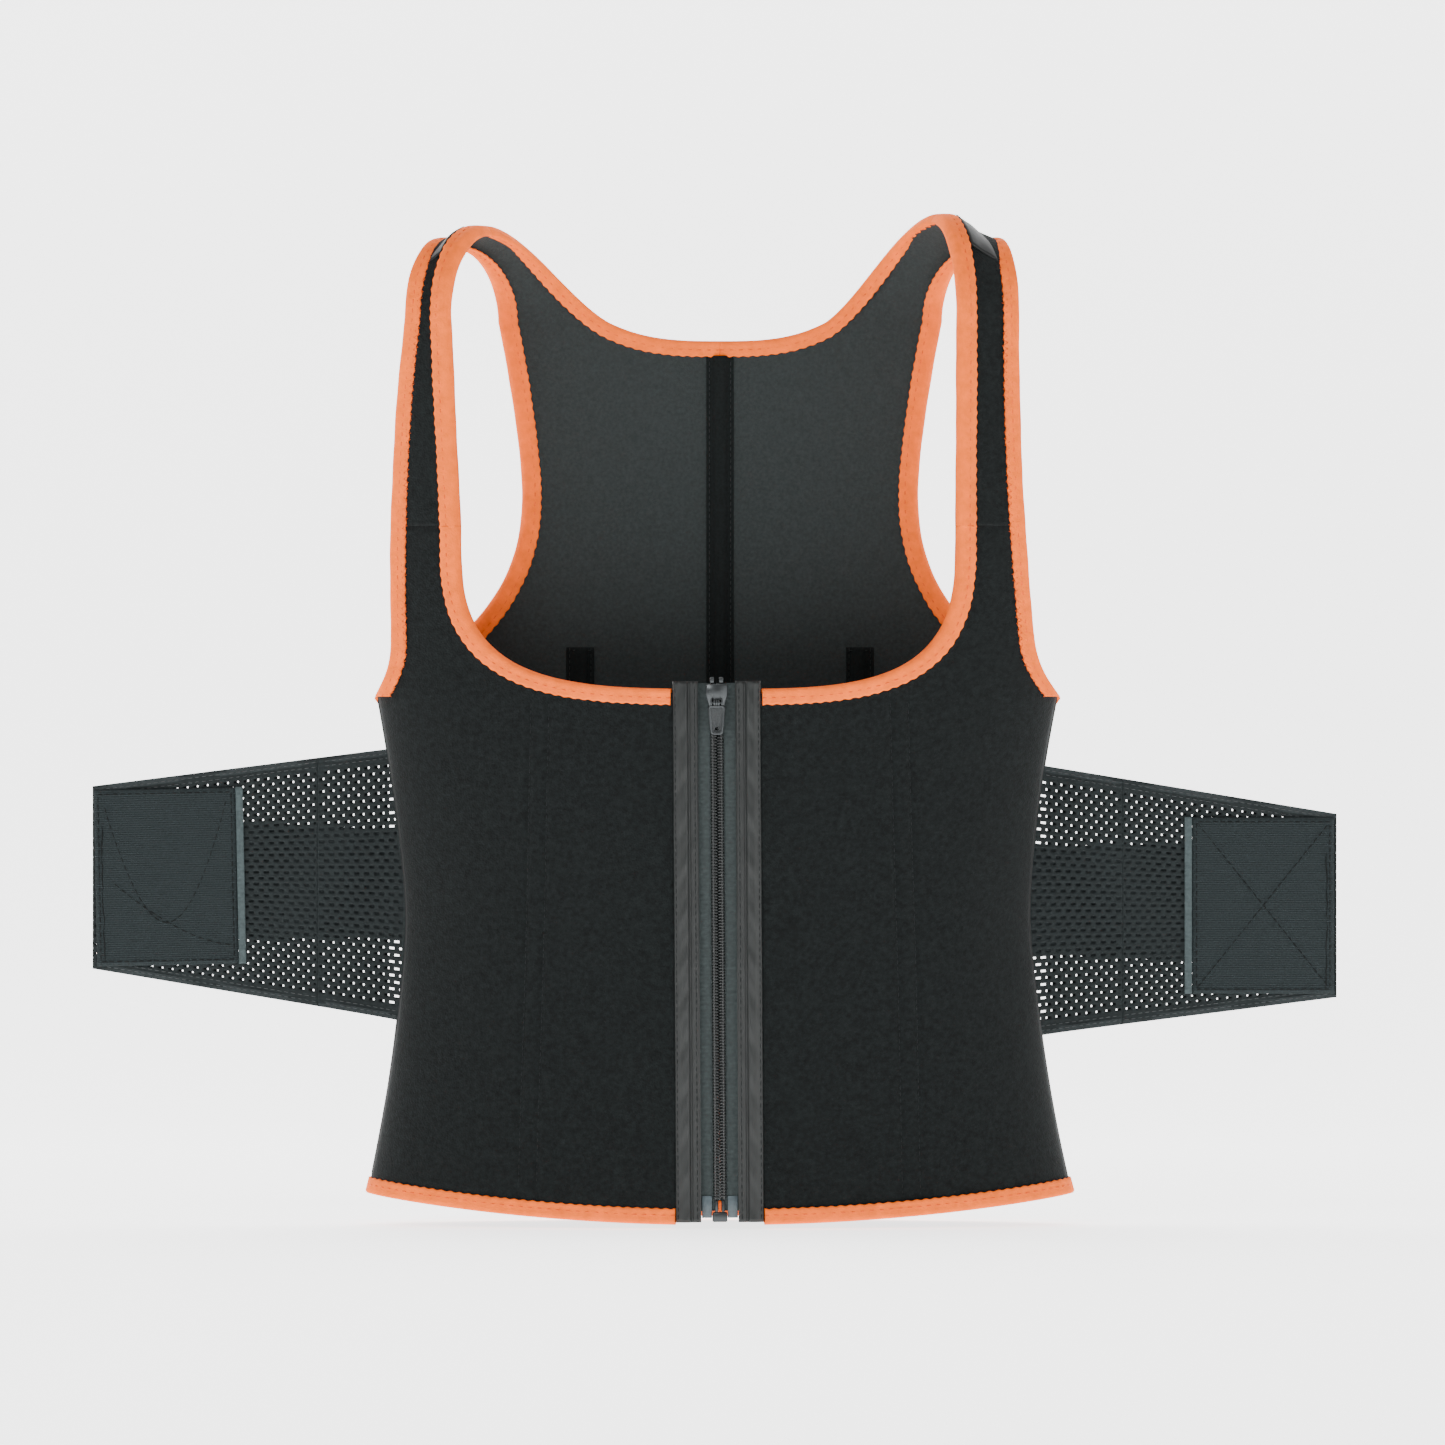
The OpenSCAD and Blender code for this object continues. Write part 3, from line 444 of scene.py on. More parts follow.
def shell(outer, inner):
    """Points and faces of a closed sheet between two grids; the outer faces come first."""
    rows, columns = outer.shape[:2]
    count = rows * columns
    points = np.concatenate([outer.reshape(-1, 3), inner.reshape(-1, 3)])
    rim = np.concatenate([np.arange(columns), np.arange(1, rows) * columns + columns - 1,
                          (rows - 1) * columns + np.arange(columns - 2, -1, -1),
                          np.arange(rows - 2, 0, -1) * columns])
    after = np.roll(rim, -1)
    walls = np.stack([rim, after, after + count, rim + count], -1)
    faces = np.concatenate([grid_faces(rows, columns), grid_faces(rows, columns, count), walls])
    kind = np.repeat([0, 1, 1], [(rows - 1) * (columns - 1)] * 2 + [len(rim)])
    return points, faces, kind


def swept(rings):
    """Points and faces of a closed sweep: rings is steps by points by 3."""
    steps, count = rings.shape[:2]
    faces = [list(f) for f in grid_faces(steps, count, closed=True)]
    faces += [list(range(count)), list(range((steps - 1) * count, steps * count))]
    return rings.reshape(-1, 3), faces


def joined(parts):
    """Several (points, faces) as one."""
    points, faces, start = [], [], 0
    for p, f in parts:
        p = np.asarray(p, float).reshape(-1, 3)
        points.append(p)
        faces += [[int(i) + start for i in face] for face in f]
        start += len(p)
    return np.concatenate(points), faces


def tube(path, radius, sides=6, up=(0, 0, 1), closed=False):
    """A round thread along a path, with its ends closed."""
    path = np.asarray(path, float)
    ahead = np.roll(path, -1, 0) - np.roll(path, 1, 0)
    if not closed:
        ahead[0], ahead[-1] = path[1] - path[0], path[-1] - path[-2]
    ahead /= np.maximum(np.linalg.norm(ahead, axis=1, keepdims=True), 1e-12)
    a = np.cross(ahead, np.asarray(up, float))
    flat = np.linalg.norm(a, axis=1) < 1e-3
    a[flat] = np.cross(ahead[flat], (0.1, 1, 0))
    a /= np.linalg.norm(a, axis=1, keepdims=True)
    b = np.cross(ahead, a)
    turn = np.arange(sides) * 2 * math.pi / sides
    radius = np.broadcast_to(np.asarray(radius, float), len(path))[:, None, None]
    rings = path[:, None] + radius * (np.cos(turn)[None, :, None] * a[:, None]
                                      + np.sin(turn)[None, :, None] * b[:, None])
    if not closed:
        return swept(rings)
    points = rings.reshape(-1, 3)
    return points, grid_faces(len(path) + 1, sides, closed=True) % len(points)


def dashes(path, length, gap, radius, sides=5):
    """Short threads along a path of points, each sunk at its two ends."""
    path = np.asarray(path, float)
    run = np.concatenate([[0], np.cumsum(np.linalg.norm(np.diff(path, axis=0), axis=1))])
    starts = np.arange(0, run[-1] - length, length + gap)
    parts = []
    for s in starts:
        where = s + length * np.array([0, 0.2, 0.5, 0.8, 1])
        line = np.stack([np.interp(where, run, path[:, i]) for i in range(3)], -1)
        parts.append(tube(line, radius * np.array([0.45, 0.9, 1, 0.9, 0.45]), sides))
    return joined(parts)


def sheet(obj, width, length, area):
    """Return the piece as it is; width, length and area are not used."""
    return obj


def finish(obj, body, slot, *nodes):
    """Let a piece ride on its body in place of CAD nodes; the slot is not used."""
    if nodes:
        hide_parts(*nodes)
    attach(obj, body)
    return obj


def bend_front(obj, k, slot, *nodes):
    """A piece that crosses the line where a front panel folds open: hides the CAD nodes and bakes its
    transform, without bending it.
    """
    if nodes:
        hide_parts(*nodes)
    low, top = HINGE_X[k]
    run = np.array([SIGN[k] * (top - low), 0, HINGE_H[1] - HINGE_H[0]], float)
    run /= np.linalg.norm(run)
    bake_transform(obj)
    return obj


# ---- Cloth ----
def quilt(x, h, seed):
    """Slow, seeded unevenness of soft cloth, in millimetres."""
    rng = np.random.default_rng(seed)
    total = np.zeros(np.broadcast(x, h).shape)
    for _ in range(7):
        fx, fh = rng.uniform(-0.035, 0.035, 2)
        total = total + np.sin(fx * x + fh * h + rng.uniform(0, 6.28))
    return 0.12 * total


CASING_LOW, CASING_TOP, CASING_HALF = 96, 89, 4.5
SHORT_CASING_X = 72
EDGE_IN = 2.0


def casing_x(h):
    return mix(CASING_LOW, CASING_TOP, np.clip((h - 8) / NECK_H, 0, 1))


def front_relief(k, x, h):
    """How far the front cloth's outer face stands from its plain shape."""
    lines = np.zeros(np.broadcast(x, h).shape)
    for side in (-1, 1):
        gap = (x - casing_x(h) - side * CASING_HALF) / 1.1
        lines = lines - 0.8 * np.exp(-gap ** 2) * (h < NECK_H - 4)
    hem = (h - hem_edge(x) - 8.5) / 1.5
    hem = np.where(np.abs(hem) > 5, 5, hem)
    hip = 0.9 * np.exp(-((h - 150) / 46) ** 2) * np.sin(x / 13) * np.clip((x - 110) / 30, 0, 1)
    return lines - 0.45 * np.exp(-hem ** 2) + quilt(SIGN[k] * x, h, 5) * 1.4 + hip


def column_split(first, second):
    """Column positions 0..1 over a first and a second stretch, and the index between them."""
    return np.concatenate([np.linspace(0, 1, first), np.linspace(1, 2, second)[1:]]), first - 1


def lower_block(inner, outer, low, neck, far, stretches, rows):
    """Sites (x, h) of a panel's lower part.

    inner and outer give its sides by height, low its bottom by x, neck the points of its top
    from the middle outwards, and far the point where the top meets the outer side.
    """
    neck = np.asarray(neck, float)
    p, _ = column_split(*stretches)
    n = np.linspace(0, 1, len(neck))
    top = np.stack([np.where(p <= 1, np.interp(p, n, neck[:, i]),
                             mix(neck[-1, i], far[i], p - 1)) for i in (0, 1)], -1)
    share = (top[:, 0] - inner(top[:, 1])) / (outer(top[:, 1]) - inner(top[:, 1]))
    even = np.linspace(0, 1, len(p))
    v = np.linspace(0, 1, rows)[:, None]
    tau = mix(even, share, v ** 1.5)
    start = inner(low(0)) + (outer(low(HEM_HALF)) - inner(low(0))) * even
    h = mix(low(start), top[:, 1], v)
    return inner(h) + (outer(h) - inner(h)) * tau, h


def skin(outer, inner, faces):
    """Points and faces of a closed sheet with any outline; kind is 0 outside, 1 inside, 2 on the rim."""
    faces = np.asarray(faces)
    count = len(outer)
    edges = np.concatenate([faces[:, [i, (i + 1) % 4]] for i in range(4)])
    key = np.sort(edges, axis=1)
    _, first, times = np.unique(key, axis=0, return_index=True, return_counts=True)
    rim = edges[first[times == 1]]
    walls = np.stack([rim[:, 1], rim[:, 0], rim[:, 0] + count, rim[:, 1] + count], -1)
    kind = np.repeat([0, 1, 2], [len(faces), len(faces), len(walls)])
    return (np.concatenate([outer, inner]),
            np.concatenate([faces, faces[:, ::-1] + count, walls]), kind)


def panel_faces(rows, columns, more_rows, split):
    """A full block, and a second one on its top row from the split column outwards."""
    faces = [grid_faces(rows, columns)]
    if more_rows:
        narrow = columns - split
        ids = np.concatenate([np.arange((rows - 1) * columns + split, rows * columns),
                              rows * columns + np.arange(more_rows * narrow)])
        faces.append(ids[grid_faces(more_rows + 1, narrow)])
    return np.concatenate(faces)


def cloth_piece(name, k, f, x, h, s, faces, relief, outside=1.5, inside=-1.5):
    points, quads, kind = skin(at(k, f, x, h, s, outside + relief),
                               at(k, f, x, h, s, inside + 0.4 * relief), faces)
    obj = piece(name, points, quads, [material(outer_cloth), material(lining_cloth)],
                np.minimum(kind, 1))
    obj.data.polygons.foreach_set("use_smooth", kind < 2)
    return obj


def neck_site(k, a, inset=0.0):
    a = np.radians(a)
    x = NECK_HALF[k] * np.cos(a) ** (2 / NECK_N)
    h = NECK_ROUND_H - (NECK_ROUND_H - NECK_H) * np.sin(a) ** (2 / NECK_N)
    slope = np.stack([np.cos(a) ** (2 - 2 / NECK_N) / NECK_HALF[k],
                      -np.sin(a) ** (2 - 2 / NECK_N) / (NECK_ROUND_H - NECK_H)], -1)
    slope = slope / np.linalg.norm(slope, axis=-1, keepdims=True)
    return x + inset * slope[..., 0], h + inset * slope[..., 1]


def front_cloth(k):
    """A front half from its placket to the side fold, up to where the strap starts."""
    def inner(h):
        return PLACKET_IN + 1.5 + lean_at(k, h)

    def low(x):
        return hem_edge(x) + EDGE_IN

    turn = 40
    neck = np.stack(neck_site(k, np.linspace(87.5, turn, 60), EDGE_IN), -1)
    neck[0, 0] = inner(NECK_H)
    first, second, rows, more = 66, 46, 170, 56
    x, h = lower_block(inner, lambda h: side_x(k, h), low, neck, (side_x(k, ARMPIT_H), ARMPIT_H),
                       (first, second), rows)
    columns = x.shape[1]
    a = np.linspace(turn, 0, more + 1)[1:]
    near_x, near_h = neck_site(k, a, EDGE_IN)
    far_h = mix(ARMPIT_H, NECK_ROUND_H, np.linspace(0, 1, more + 1)[1:])
    far_x = arm_front_x(k, far_h) - EDGE_IN
    t = np.linspace(0, 1, second)
    x = np.concatenate([x.ravel(), mix(near_x[:, None], far_x[:, None], t).ravel()])
    h = np.concatenate([h.ravel(), mix(near_h[:, None], far_h[:, None], t).ravel()])
    obj = cloth_piece(f"front_cloth_{SIDE_NAME[k]}", k, FRONT, x, h, 1,
                      panel_faces(rows, columns, more, first - 1), front_relief(k, x, h))
    return bend_front(obj, k, "outer_cloth", f"front_panel_{SIDE_NAME[k]}",
                      f"side_panel_{SIDE_NAME[k]}")


def strap_cloth(k):
    """A front strap and its half of the shoulder."""
    t = np.linspace(0, 1, 24)
    h = np.linspace(NECK_ROUND_H, ARCH_H, 60)[:, None]
    x = mix(neck_x(k, h) + EDGE_IN, arm_front_x(k, h) - EDGE_IN, t)
    h, s = np.broadcast_to(h, x.shape), np.ones_like(x)
    ax, ah, az = shoulder_rows(k, FRONT, np.arange(1.5, 91, 1.77), t)
    x, h, s = (np.concatenate(pair) for pair in ((x, ax), (h, ah), (s, az)))
    obj = cloth_piece(f"strap_cloth_{SIDE_NAME[k]}", k, FRONT, x.ravel(), h.ravel(), s.ravel(),
                      grid_faces(*x.shape), front_relief(k, x, h).ravel())
    return finish(obj, "back", "outer_cloth")


def shoulder_rows(k, f, angles, t):
    """Rows of a shoulder's arch between its neck and arm edges."""
    out = []
    for a in angles:
        nx, nh, s = arch(k, f, "neck", min(a, 90))
        ox, oh, _ = arch(k, f, "arm", min(a, 90))
        out.append((mix(nx + EDGE_IN, ox - EDGE_IN, t), mix(nh, oh, t), np.full_like(t, s)))
    return [np.array(v) for v in zip(*out)]


def back_half(k):
    """Sites and faces of one half of the back, from its middle seam to the side fold."""
    def outer(h):
        h = np.asarray(h, float)
        return np.where(h < ARMPIT_H, side_x(k, h), arm_back_x(k, h) - EDGE_IN)

    def low(x):
        return hem_edge(x) + EDGE_IN

    base = NECK_BACK_HALF[k]
    u = np.linspace(0, 1, 40)
    neck = np.stack([base * u + EDGE_IN * u ** 2, NECK_BACK_H + (ARCH_H - NECK_BACK_H) * u ** 3
                     - EDGE_IN * (1 - u ** 4)], -1)
    first, second, rows = 50, 36, 270
    x, h = lower_block(lambda h: 0 * np.asarray(h, float), outer, low, neck,
                       (outer(ARCH_H), ARCH_H), (first, second), rows)
    ax, ah, az = shoulder_rows(k, BACK, np.arange(1.5, 91, 1.77), np.linspace(0, 1, second))
    columns = x.shape[1]
    s = np.concatenate([np.ones(x.size), az.ravel()])
    x = np.concatenate([x.ravel(), ax.ravel()])
    h = np.concatenate([h.ravel(), ah.ravel()])
    return x, h, s, panel_faces(rows, columns, len(az), first - 1)


def back_cloth(k):
    x, h, s, faces = back_half(k)
    seam = -0.5 * np.exp(-(x / 1.2) ** 2)
    waist = 0.5 * np.exp(-((h - 160) / 40) ** 2) * np.sin(h / 9 + 0.03 * x)
    obj = cloth_piece(f"back_cloth_{SIDE_NAME[k]}", k, BACK, x, h, s, faces,
                      seam + waist + quilt(SIGN[k] * x, h, 3))
    return finish(obj, "back", "lining_cloth", f"back_panel_{SIDE_NAME[k]}")


# ---- Edge bindings ----
# Across the binding from the cloth's edge, and out of the cloth
FOLD = np.array([(8, 1.9), (7.7, 2.35), (6.6, 2.6), (4.6, 2.65), (2.6, 2.75), (1.1, 2.6),
                 (0.25, 1.9), (-0.1, 0.7), (-0.1, -0.7), (0.25, -1.9), (1.1, -2.6), (2.6, -2.75),
                 (4.6, -2.65), (6.6, -2.6), (7.7, -2.35), (8, -1.9), (7.8, -1.45), (1.3, -1.4),
                 (1.3, 1.4), (7.8, 1.45)])
STITCH_ROW = 4.6


class Route:
    """A path along an edge: sites, with the direction from the edge into the cloth."""

    def __init__(self, k, f, x, h, s, dx, dh):
        parts = np.broadcast_arrays(*(np.asarray(v, float) for v in (f, x, h, s, dx, dh)))
        self.k, self.data = k, np.stack(parts, -1)

    def __add__(self, other):
        joined_route = Route(self.k, 0, 0, 0, 0, 0, 0)
        joined_route.data = np.concatenate([self.data, other.data])
        return joined_route

    def points(self, q, o):
        """The path moved q across and o out; q and o may be arrays along it."""
        f, x, h, s, dx, dh = self.data.T
        front = at(self.k, FRONT, x + dx * q, h + dh * q, s, o)
        back = at(self.k, BACK, x + dx * q, h + dh * q, s, o)
        return np.where((f < 0)[:, None], front, back)

    def run(self):
        line = self.points(4, 2)
        return np.concatenate([[0], np.cumsum(np.linalg.norm(np.diff(line, axis=0), axis=1))])

    def even(self, step=0.0008):
        """The same path with points a step apart."""
        run = self.run()
        where = np.linspace(0, run[-1], max(4, int(run[-1] / step)))
        again = Route(self.k, 0, 0, 0, 0, 0, 0)
        again.data = np.stack([np.interp(where, run, c) for c in self.data.T], -1)
        again.data[:, 0] = np.where(again.data[:, 0] < 0, -1, 1)
        return again


def steered(k, f, x, h, s=1.0, way=1):
    """A route whose direction is at right angles to the path, to its right."""
    x, h = np.asarray(x, float), np.asarray(h, float)
    d = np.stack([np.gradient(x), np.gradient(h)], -1)
    d /= np.maximum(np.linalg.norm(d, axis=1, keepdims=True), 1e-9)
    return Route(k, f, x, h, s, way * d[:, 1], -way * d[:, 0])


def bound_edge(name, routes, zigzag=False):
    """A folded binding with its stitches, along one or more routes."""
    pitch = sizes().scallop
    width = sizes().binding_width / 0.008
    cloth, stitches = [], []
    for route in routes:
        route = route.even()
        run = route.run()
        pull = np.cos(2 * math.pi * run / pitch)
        rings = []
        for q, o in FOLD:
            q = q * width
            reach = 0.28 * pull if abs(q) > 6 else 0
            sunk = 0.42 * np.exp(-((q - STITCH_ROW) / 1.5) ** 2) * (0.6 + 0.4 * pull)
            puff = 0.12 * np.sin(run / 0.011 + q) + 0.08 * np.sin(run / 0.0037)
            out = o - np.sign(o) * (sunk if abs(o) > 2.2 else 0) + np.sign(o) * puff * (abs(o) > 1.8)
            rings.append(route.points(q + reach, out))
        cloth.append(swept(np.stack(rings, 1)))
        for face in (1, -1):
            line = route.points(STITCH_ROW * width, face * 2.42)
            stitches.append(dashes(line, pitch * 0.45, pitch * 0.55, 0.00033))
        if zigzag:
            wave = np.abs((run / 0.0031) % 1 - 0.5) * 2
            stitches.append(tube(route.points(6.6 + 2.2 * wave, 2.55 - 0.75 * wave), 0.00022, 4))
    cloth, stitches = joined(cloth), joined(stitches)
    points, faces = joined([cloth, stitches])
    kind = [0] * len(cloth[1]) + [1] * len(stitches[1])
    return piece(name, points, faces, [material(binding_cloth),
                 material(thread, "binding_thread", (0.75, 0.1, 0.008))], kind)


def neck_front_route(k):
    a = np.concatenate([np.linspace(88.6, 70, 60), 69.6 * np.linspace(1, 0, 160) ** 2.2])
    x, h = neck_site(k, a)
    keep = x > PLACKET_IN + PLACKET_W + 0.2 + lean_at(k, h)
    return steered(k, FRONT, x[keep], h[keep])


def neck_strap_route(k):
    h = np.linspace(NECK_ROUND_H - 1, ARCH_H, 60)
    strap = steered(k, FRONT, neck_x(k, h), h)
    x, h, s = np.array([arch(k, FRONT, "neck", a) for a in np.linspace(0.5, 90, 60)]).T
    return strap + Route(k, FRONT, x, h, s, 1, 0)


def neck_back_route(k):
    """From the middle of the back neckline up to the top of the shoulder."""
    base = NECK_BACK_HALF[k]
    u = np.linspace(0.0, 1, 60)
    low = steered(k, BACK, base * u, NECK_BACK_H + (ARCH_H - NECK_BACK_H) * u ** 3)
    angles = np.linspace(1, 90, 70)
    x, h, s = np.array([arch(k, BACK, "neck", a) for a in angles]).T
    last = low.data[-1, 4:]
    share = np.clip(angles / 55, 0, 1)
    dx, dh = mix(last[0], 1, share), mix(last[1], 0, share)
    size = np.hypot(dx, dh)
    return low + Route(k, BACK, x, h, s, dx / size, dh / size)


def armhole_route(k):
    h = np.concatenate([np.linspace(ARMPIT_H + 0.3, ARMPIT_H + 30, 40),
                        np.linspace(ARMPIT_H + 31, ARCH_H, 90)])
    front = Route(k, FRONT, arm_front_x(k, h), h, 1, -1, 0)
    over = [arch(k, FRONT, "arm", a) for a in np.linspace(1, 90, 40)]
    x, ah, s = np.array(over).T
    front = front + Route(k, FRONT, x, ah, s, -1, 0)
    x, ah, s = np.array([arch(k, BACK, "arm", a) for a in np.linspace(89, 1, 40)]).T
    high = np.linspace(ARCH_H, NARROW_H, 50)
    back = Route(k, BACK, x, ah, s, -1, 0) + Route(k, BACK, arm_back_x(k, high), high, 1, -1, 0)
    low = np.linspace(NARROW_H - 1, ARMPIT_H + 0.3, 110)
    return front + back + steered(k, BACK, arm_back_x(k, low), low)


def hem_slope(k, x):
    """How far the side draws in above the hem, for each millimetre up."""
    return x / HEM_HALF * (side_x(k, HEM_DROP + 8) - HEM_HALF) / 8


def hem_front_route(k):
    x = np.concatenate([np.linspace(PLACKET_IN + PLACKET_W + 0.3, 140, 80),
                        HEM_HALF * np.sin(np.linspace(math.asin(141 / HEM_HALF), 1.565, 40))])
    return Route(k, FRONT, x, hem_edge(x), 1, hem_slope(k, x), 1)


def hem_back_route(k):
    x = HEM_HALF * np.sin(np.linspace(1.565, 0.0, 120))
    return Route(k, BACK, x, hem_edge(x), 1, hem_slope(k, x), 1)


class VEST_OT_bindings(bpy.types.Operator):
    """Makes the stitched binding of the neckline, armholes and hem"""
    bl_idname = "vest.bindings"
    bl_label = "Bindings"

    def execute(self, context):
        for k in SIDES:
            side = SIDE_NAME[k]
            bend_front(bound_edge(f"neck_trim_{side}", [neck_front_route(k)]), k,
                       "edge_binding", f"neck_binding_front_{side}")
            finish(bound_edge(f"strap_trim_{side}", [neck_strap_route(k)]), "back",
                   "edge_binding", f"neck_binding_strap_{side}")
            finish(bound_edge(f"armhole_trim_{side}", [armhole_route(k)], zigzag=True), "back",
                   "edge_binding", f"armhole_binding_{side}")
            bend_front(bound_edge(f"hem_trim_{side}", [hem_front_route(k)]), k,
                       "edge_binding", f"hem_binding_front_{side}")
        finish(bound_edge("neck_trim_back", [neck_back_route(k) for k in SIDES]), "back",
               "edge_binding", "neck_binding_back")
        finish(bound_edge("hem_trim_back", [hem_back_route(k) for k in SIDES]), "back",
               "edge_binding", "hem_binding_back")
        return {"FINISHED"}


# ---- Bones' casings and the shoulder tapes ----
def tape_piece(name, k, f, x_of, heights, width, o, maker, folded_top=False):
    """A flat tape sewn on by two rows of stitches, over the bone inside it."""
    h = np.arange(heights[0], heights[1], 1.5)
    across = np.linspace(-width / 2, width / 2, 15)
    u = across / (width / 2)
    side = np.sign(o)
    swell = 1.9 * np.exp(-(across / 3.4) ** 6) - 0.35 * np.exp(-((np.abs(u) - 0.78) / 0.09) ** 2)
    x = x_of(h)[:, None] + across
    outer = at(k, f, x, h[:, None], 1, o + side * (0.5 + swell))
    inner = at(k, f, x, h[:, None], 1, o - side * 0.2)
    points, faces, _ = shell(outer, inner)
    tape, stitches = (points, faces), []
    for edge in (-0.78, 0.78):
        line = at(k, f, x_of(h) + edge * width / 2, h, 1, o + side * 0.42)
        stitches.append(dashes(line, 0.0020, 0.0011, 0.0002, 4))
    if folded_top:
        top = heights[1]
        line = [at(k, f, x_of(np.array(top)) + a, top - 3, 1, o + side * 1.3) for a in across[2:-2]]
        stitches.append(dashes(line, 0.0016, 0.0009, 0.0002, 4))
    sewn = joined(stitches)
    points, faces = joined([tape, sewn])
    obj = piece(name, points, faces, [material(maker), material(
        thread, "dark_thread", (0.012, 0.014, 0.014))], [0] * len(tape[1]) + [1] * len(sewn[1]))
    return obj


def seam_stitches(name, lines, length=0.0021, gap=0.0012, radius=0.00021):
    points, faces = joined([dashes(line, length, gap, radius, 4) for line in lines])
    return piece(name, points, faces, [material(thread, "seam_thread", (0.008, 0.01, 0.01))])


class VEST_OT_casings(bpy.types.Operator):
    """Makes the bones' casings, their stitch lines and the shoulder tapes"""
    bl_idname = "vest.casings"
    bl_label = "Casings and tapes"

    def execute(self, context):
        centre = tape_piece("casing_centre", RIGHT, BACK, lambda h: 0 * h, (18, NECK_BACK_H - 7),
                            14, -1.7, casing_tape)
        finish(centre, "back", "casing_tape", "back_casing_centre")
        for k in SIDES:
            side = SIDE_NAME[k]
            offset = SHORT_CASING_X
            short = tape_piece(f"casing_{side}", k, BACK, lambda h, x=offset: x + 0 * h, (18, 291),
                               14, -1.7, casing_tape, folded_top=True)
            finish(short, "back", "casing_tape", f"back_casing_{side}")
            inside = tape_piece(f"front_casing_tape_{side}", k, FRONT, casing_x,
                                (18, NECK_H - 8), 9, -1.7, casing_tape)
            bend_front(inside, k, "casing_tape", f"front_casing_{side}")
            h = np.arange(NECK_H - 7, 8, -1.0)
            lines = []
            for e in (-1, 1):
                x = casing_x(h) + e * CASING_HALF
                lines.append(at(k, FRONT, x, h, 1, 1.62 + front_relief(k, x, h)))
            sewn = seam_stitches(f"channel_stitches_{side}", lines)
            bend_front(sewn, k, "outer_cloth")
            x, h, s = shoulder_rows(k, FRONT, np.arange(44, 84, 2.0), np.linspace(0, 1, 14))
            x = mix(x.min(axis=1, keepdims=True) + 6.5, x.max(axis=1, keepdims=True) - 6.5,
                    np.linspace(0, 1, 14))
            outer = at(k, FRONT, x, h, s, 2.5 + 0.15 * np.sin(x / 1.5))
            points, faces, _ = shell(outer, at(k, FRONT, x, h, s, 1.4))
            patch = piece(f"shoulder_patch_{side}", points, faces, [material(glossy_tape)])
            finish(patch, "back", "satin_tape", f"shoulder_tape_{side}")
        for name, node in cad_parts.items():
            if "_bone_" in name:
                node.data.materials.clear()
                node.data.materials.append(material(bone_plastic))
        return {"FINISHED"}


# ---- Zip and plackets, in a frame that leans with the zip ----
def closure(points):
    """Points in the zip's own frame (across, out is minus, up from the hem) as metres."""
    p = np.asarray(points, float)
    a = math.atan(ZIP_LEAN / ZIP_TOP_H)
    x = p[..., 0] * math.cos(a) - p[..., 2] * math.sin(a)
    z = p[..., 0] * math.sin(a) + p[..., 2] * math.cos(a)
    return np.stack([x, p[..., 1] - FRONT_D, z - HANGER_H], -1) * MM


def slab(x, y, z, round_by=0.3):
    """A box with rounded long edges, as (points, faces) in the zip's frame."""
    (x0, x1), (y0, y1), (z0, z1) = x, y, z
    r = min(round_by, (x1 - x0) / 2.01, (y1 - y0) / 2.01, (z1 - z0) / 2.01)
    rings = []
    for level, inset in ((z0, r), (z0 + 0.3 * r, 0.3 * r), (z0 + r, 0), (z1 - r, 0),
                         (z1 - 0.3 * r, 0.3 * r), (z1, r)):
        ring = []
        for cx, cy, start in ((x1, y1, 0), (x0, y1, 90), (x0, y0, 180), (x1, y0, 270)):
            for a in np.radians(np.arange(start, start + 91, 30)):
                ring.append((cx + (r if cx == x0 else -r) + (r - inset) * math.cos(a),
                             cy + (r if cy == y0 else -r) + (r - inset) * math.sin(a), level))
        rings.append(ring)
    return swept(closure(np.array(rings)))


def placket_piece(k):
    """A satin strip with a ridge over its bone, a groove and two rows of stitches."""
    q = np.linspace(0, PLACKET_W, 40)
    z = np.arange(1.5, ZIP_TOP_H + 0.1, 1.6)
    ridge = 0.75 * np.exp(-((q - 7.8) / 2.6) ** 4)
    groove = -0.8 * np.exp(-((q - 4.7) / 0.75) ** 2)
    rows = -0.35 * (np.exp(-((q - 1.8) / 0.5) ** 2) + np.exp(-((q - 11.6) / 0.5) ** 2))
    rim = -1.1 * (np.exp(-(q / 0.5) ** 2) + np.exp(-((q - PLACKET_W) / 0.5) ** 2))
    wave = 0.12 * np.sin(z[:, None] / 4.1 + q / 5) + 0.08 * np.sin(z[:, None] / 1.9 + q)
    face = -3.35 - (ridge + groove + rows + rim + wave * (0.3 + ridge))
    x = SIGN[k] * (PLACKET_IN + q)
    outer = np.stack(np.broadcast_arrays(x, face, z[:, None]), -1)
    inner = np.stack(np.broadcast_arrays(x, -1.7 + 0 * face, z[:, None]), -1)
    points, faces, _ = shell(closure(outer), closure(inner))
    lip = slab(sorted((SIGN[k] * PLACKET_IN, SIGN[k] * (PLACKET_IN + 0.8))), (-2.9, 1.4),
               (1.5, ZIP_TOP_H))
    under = slab(sorted((SIGN[k] * PLACKET_IN, SIGN[k] * (PLACKET_IN + PLACKET_W))), (1.9, 2.5),
                 (2, ZIP_TOP_H - 1))
    line = np.arange(3, ZIP_TOP_H - 2, 1.0)
    sewn = [dashes(closure(np.stack([0 * line + SIGN[k] * (PLACKET_IN + q), 0 * line - y, line], -1)),
                   0.0024, 0.0013, 0.00024, 4) for q, y in ((1.8, 3.1), (11.6, 3.1))]
    tape, stitches = joined([(points, faces), lip, under]), joined(sewn)
    points, faces = joined([tape, stitches])
    return piece(f"satin_placket_{SIDE_NAME[k]}", points, faces,
                 [material(satin), material(thread, "placket_thread", (0.012, 0.014, 0.014))],
                 [0] * len(tape[1]) + [1] * len(stitches[1]))


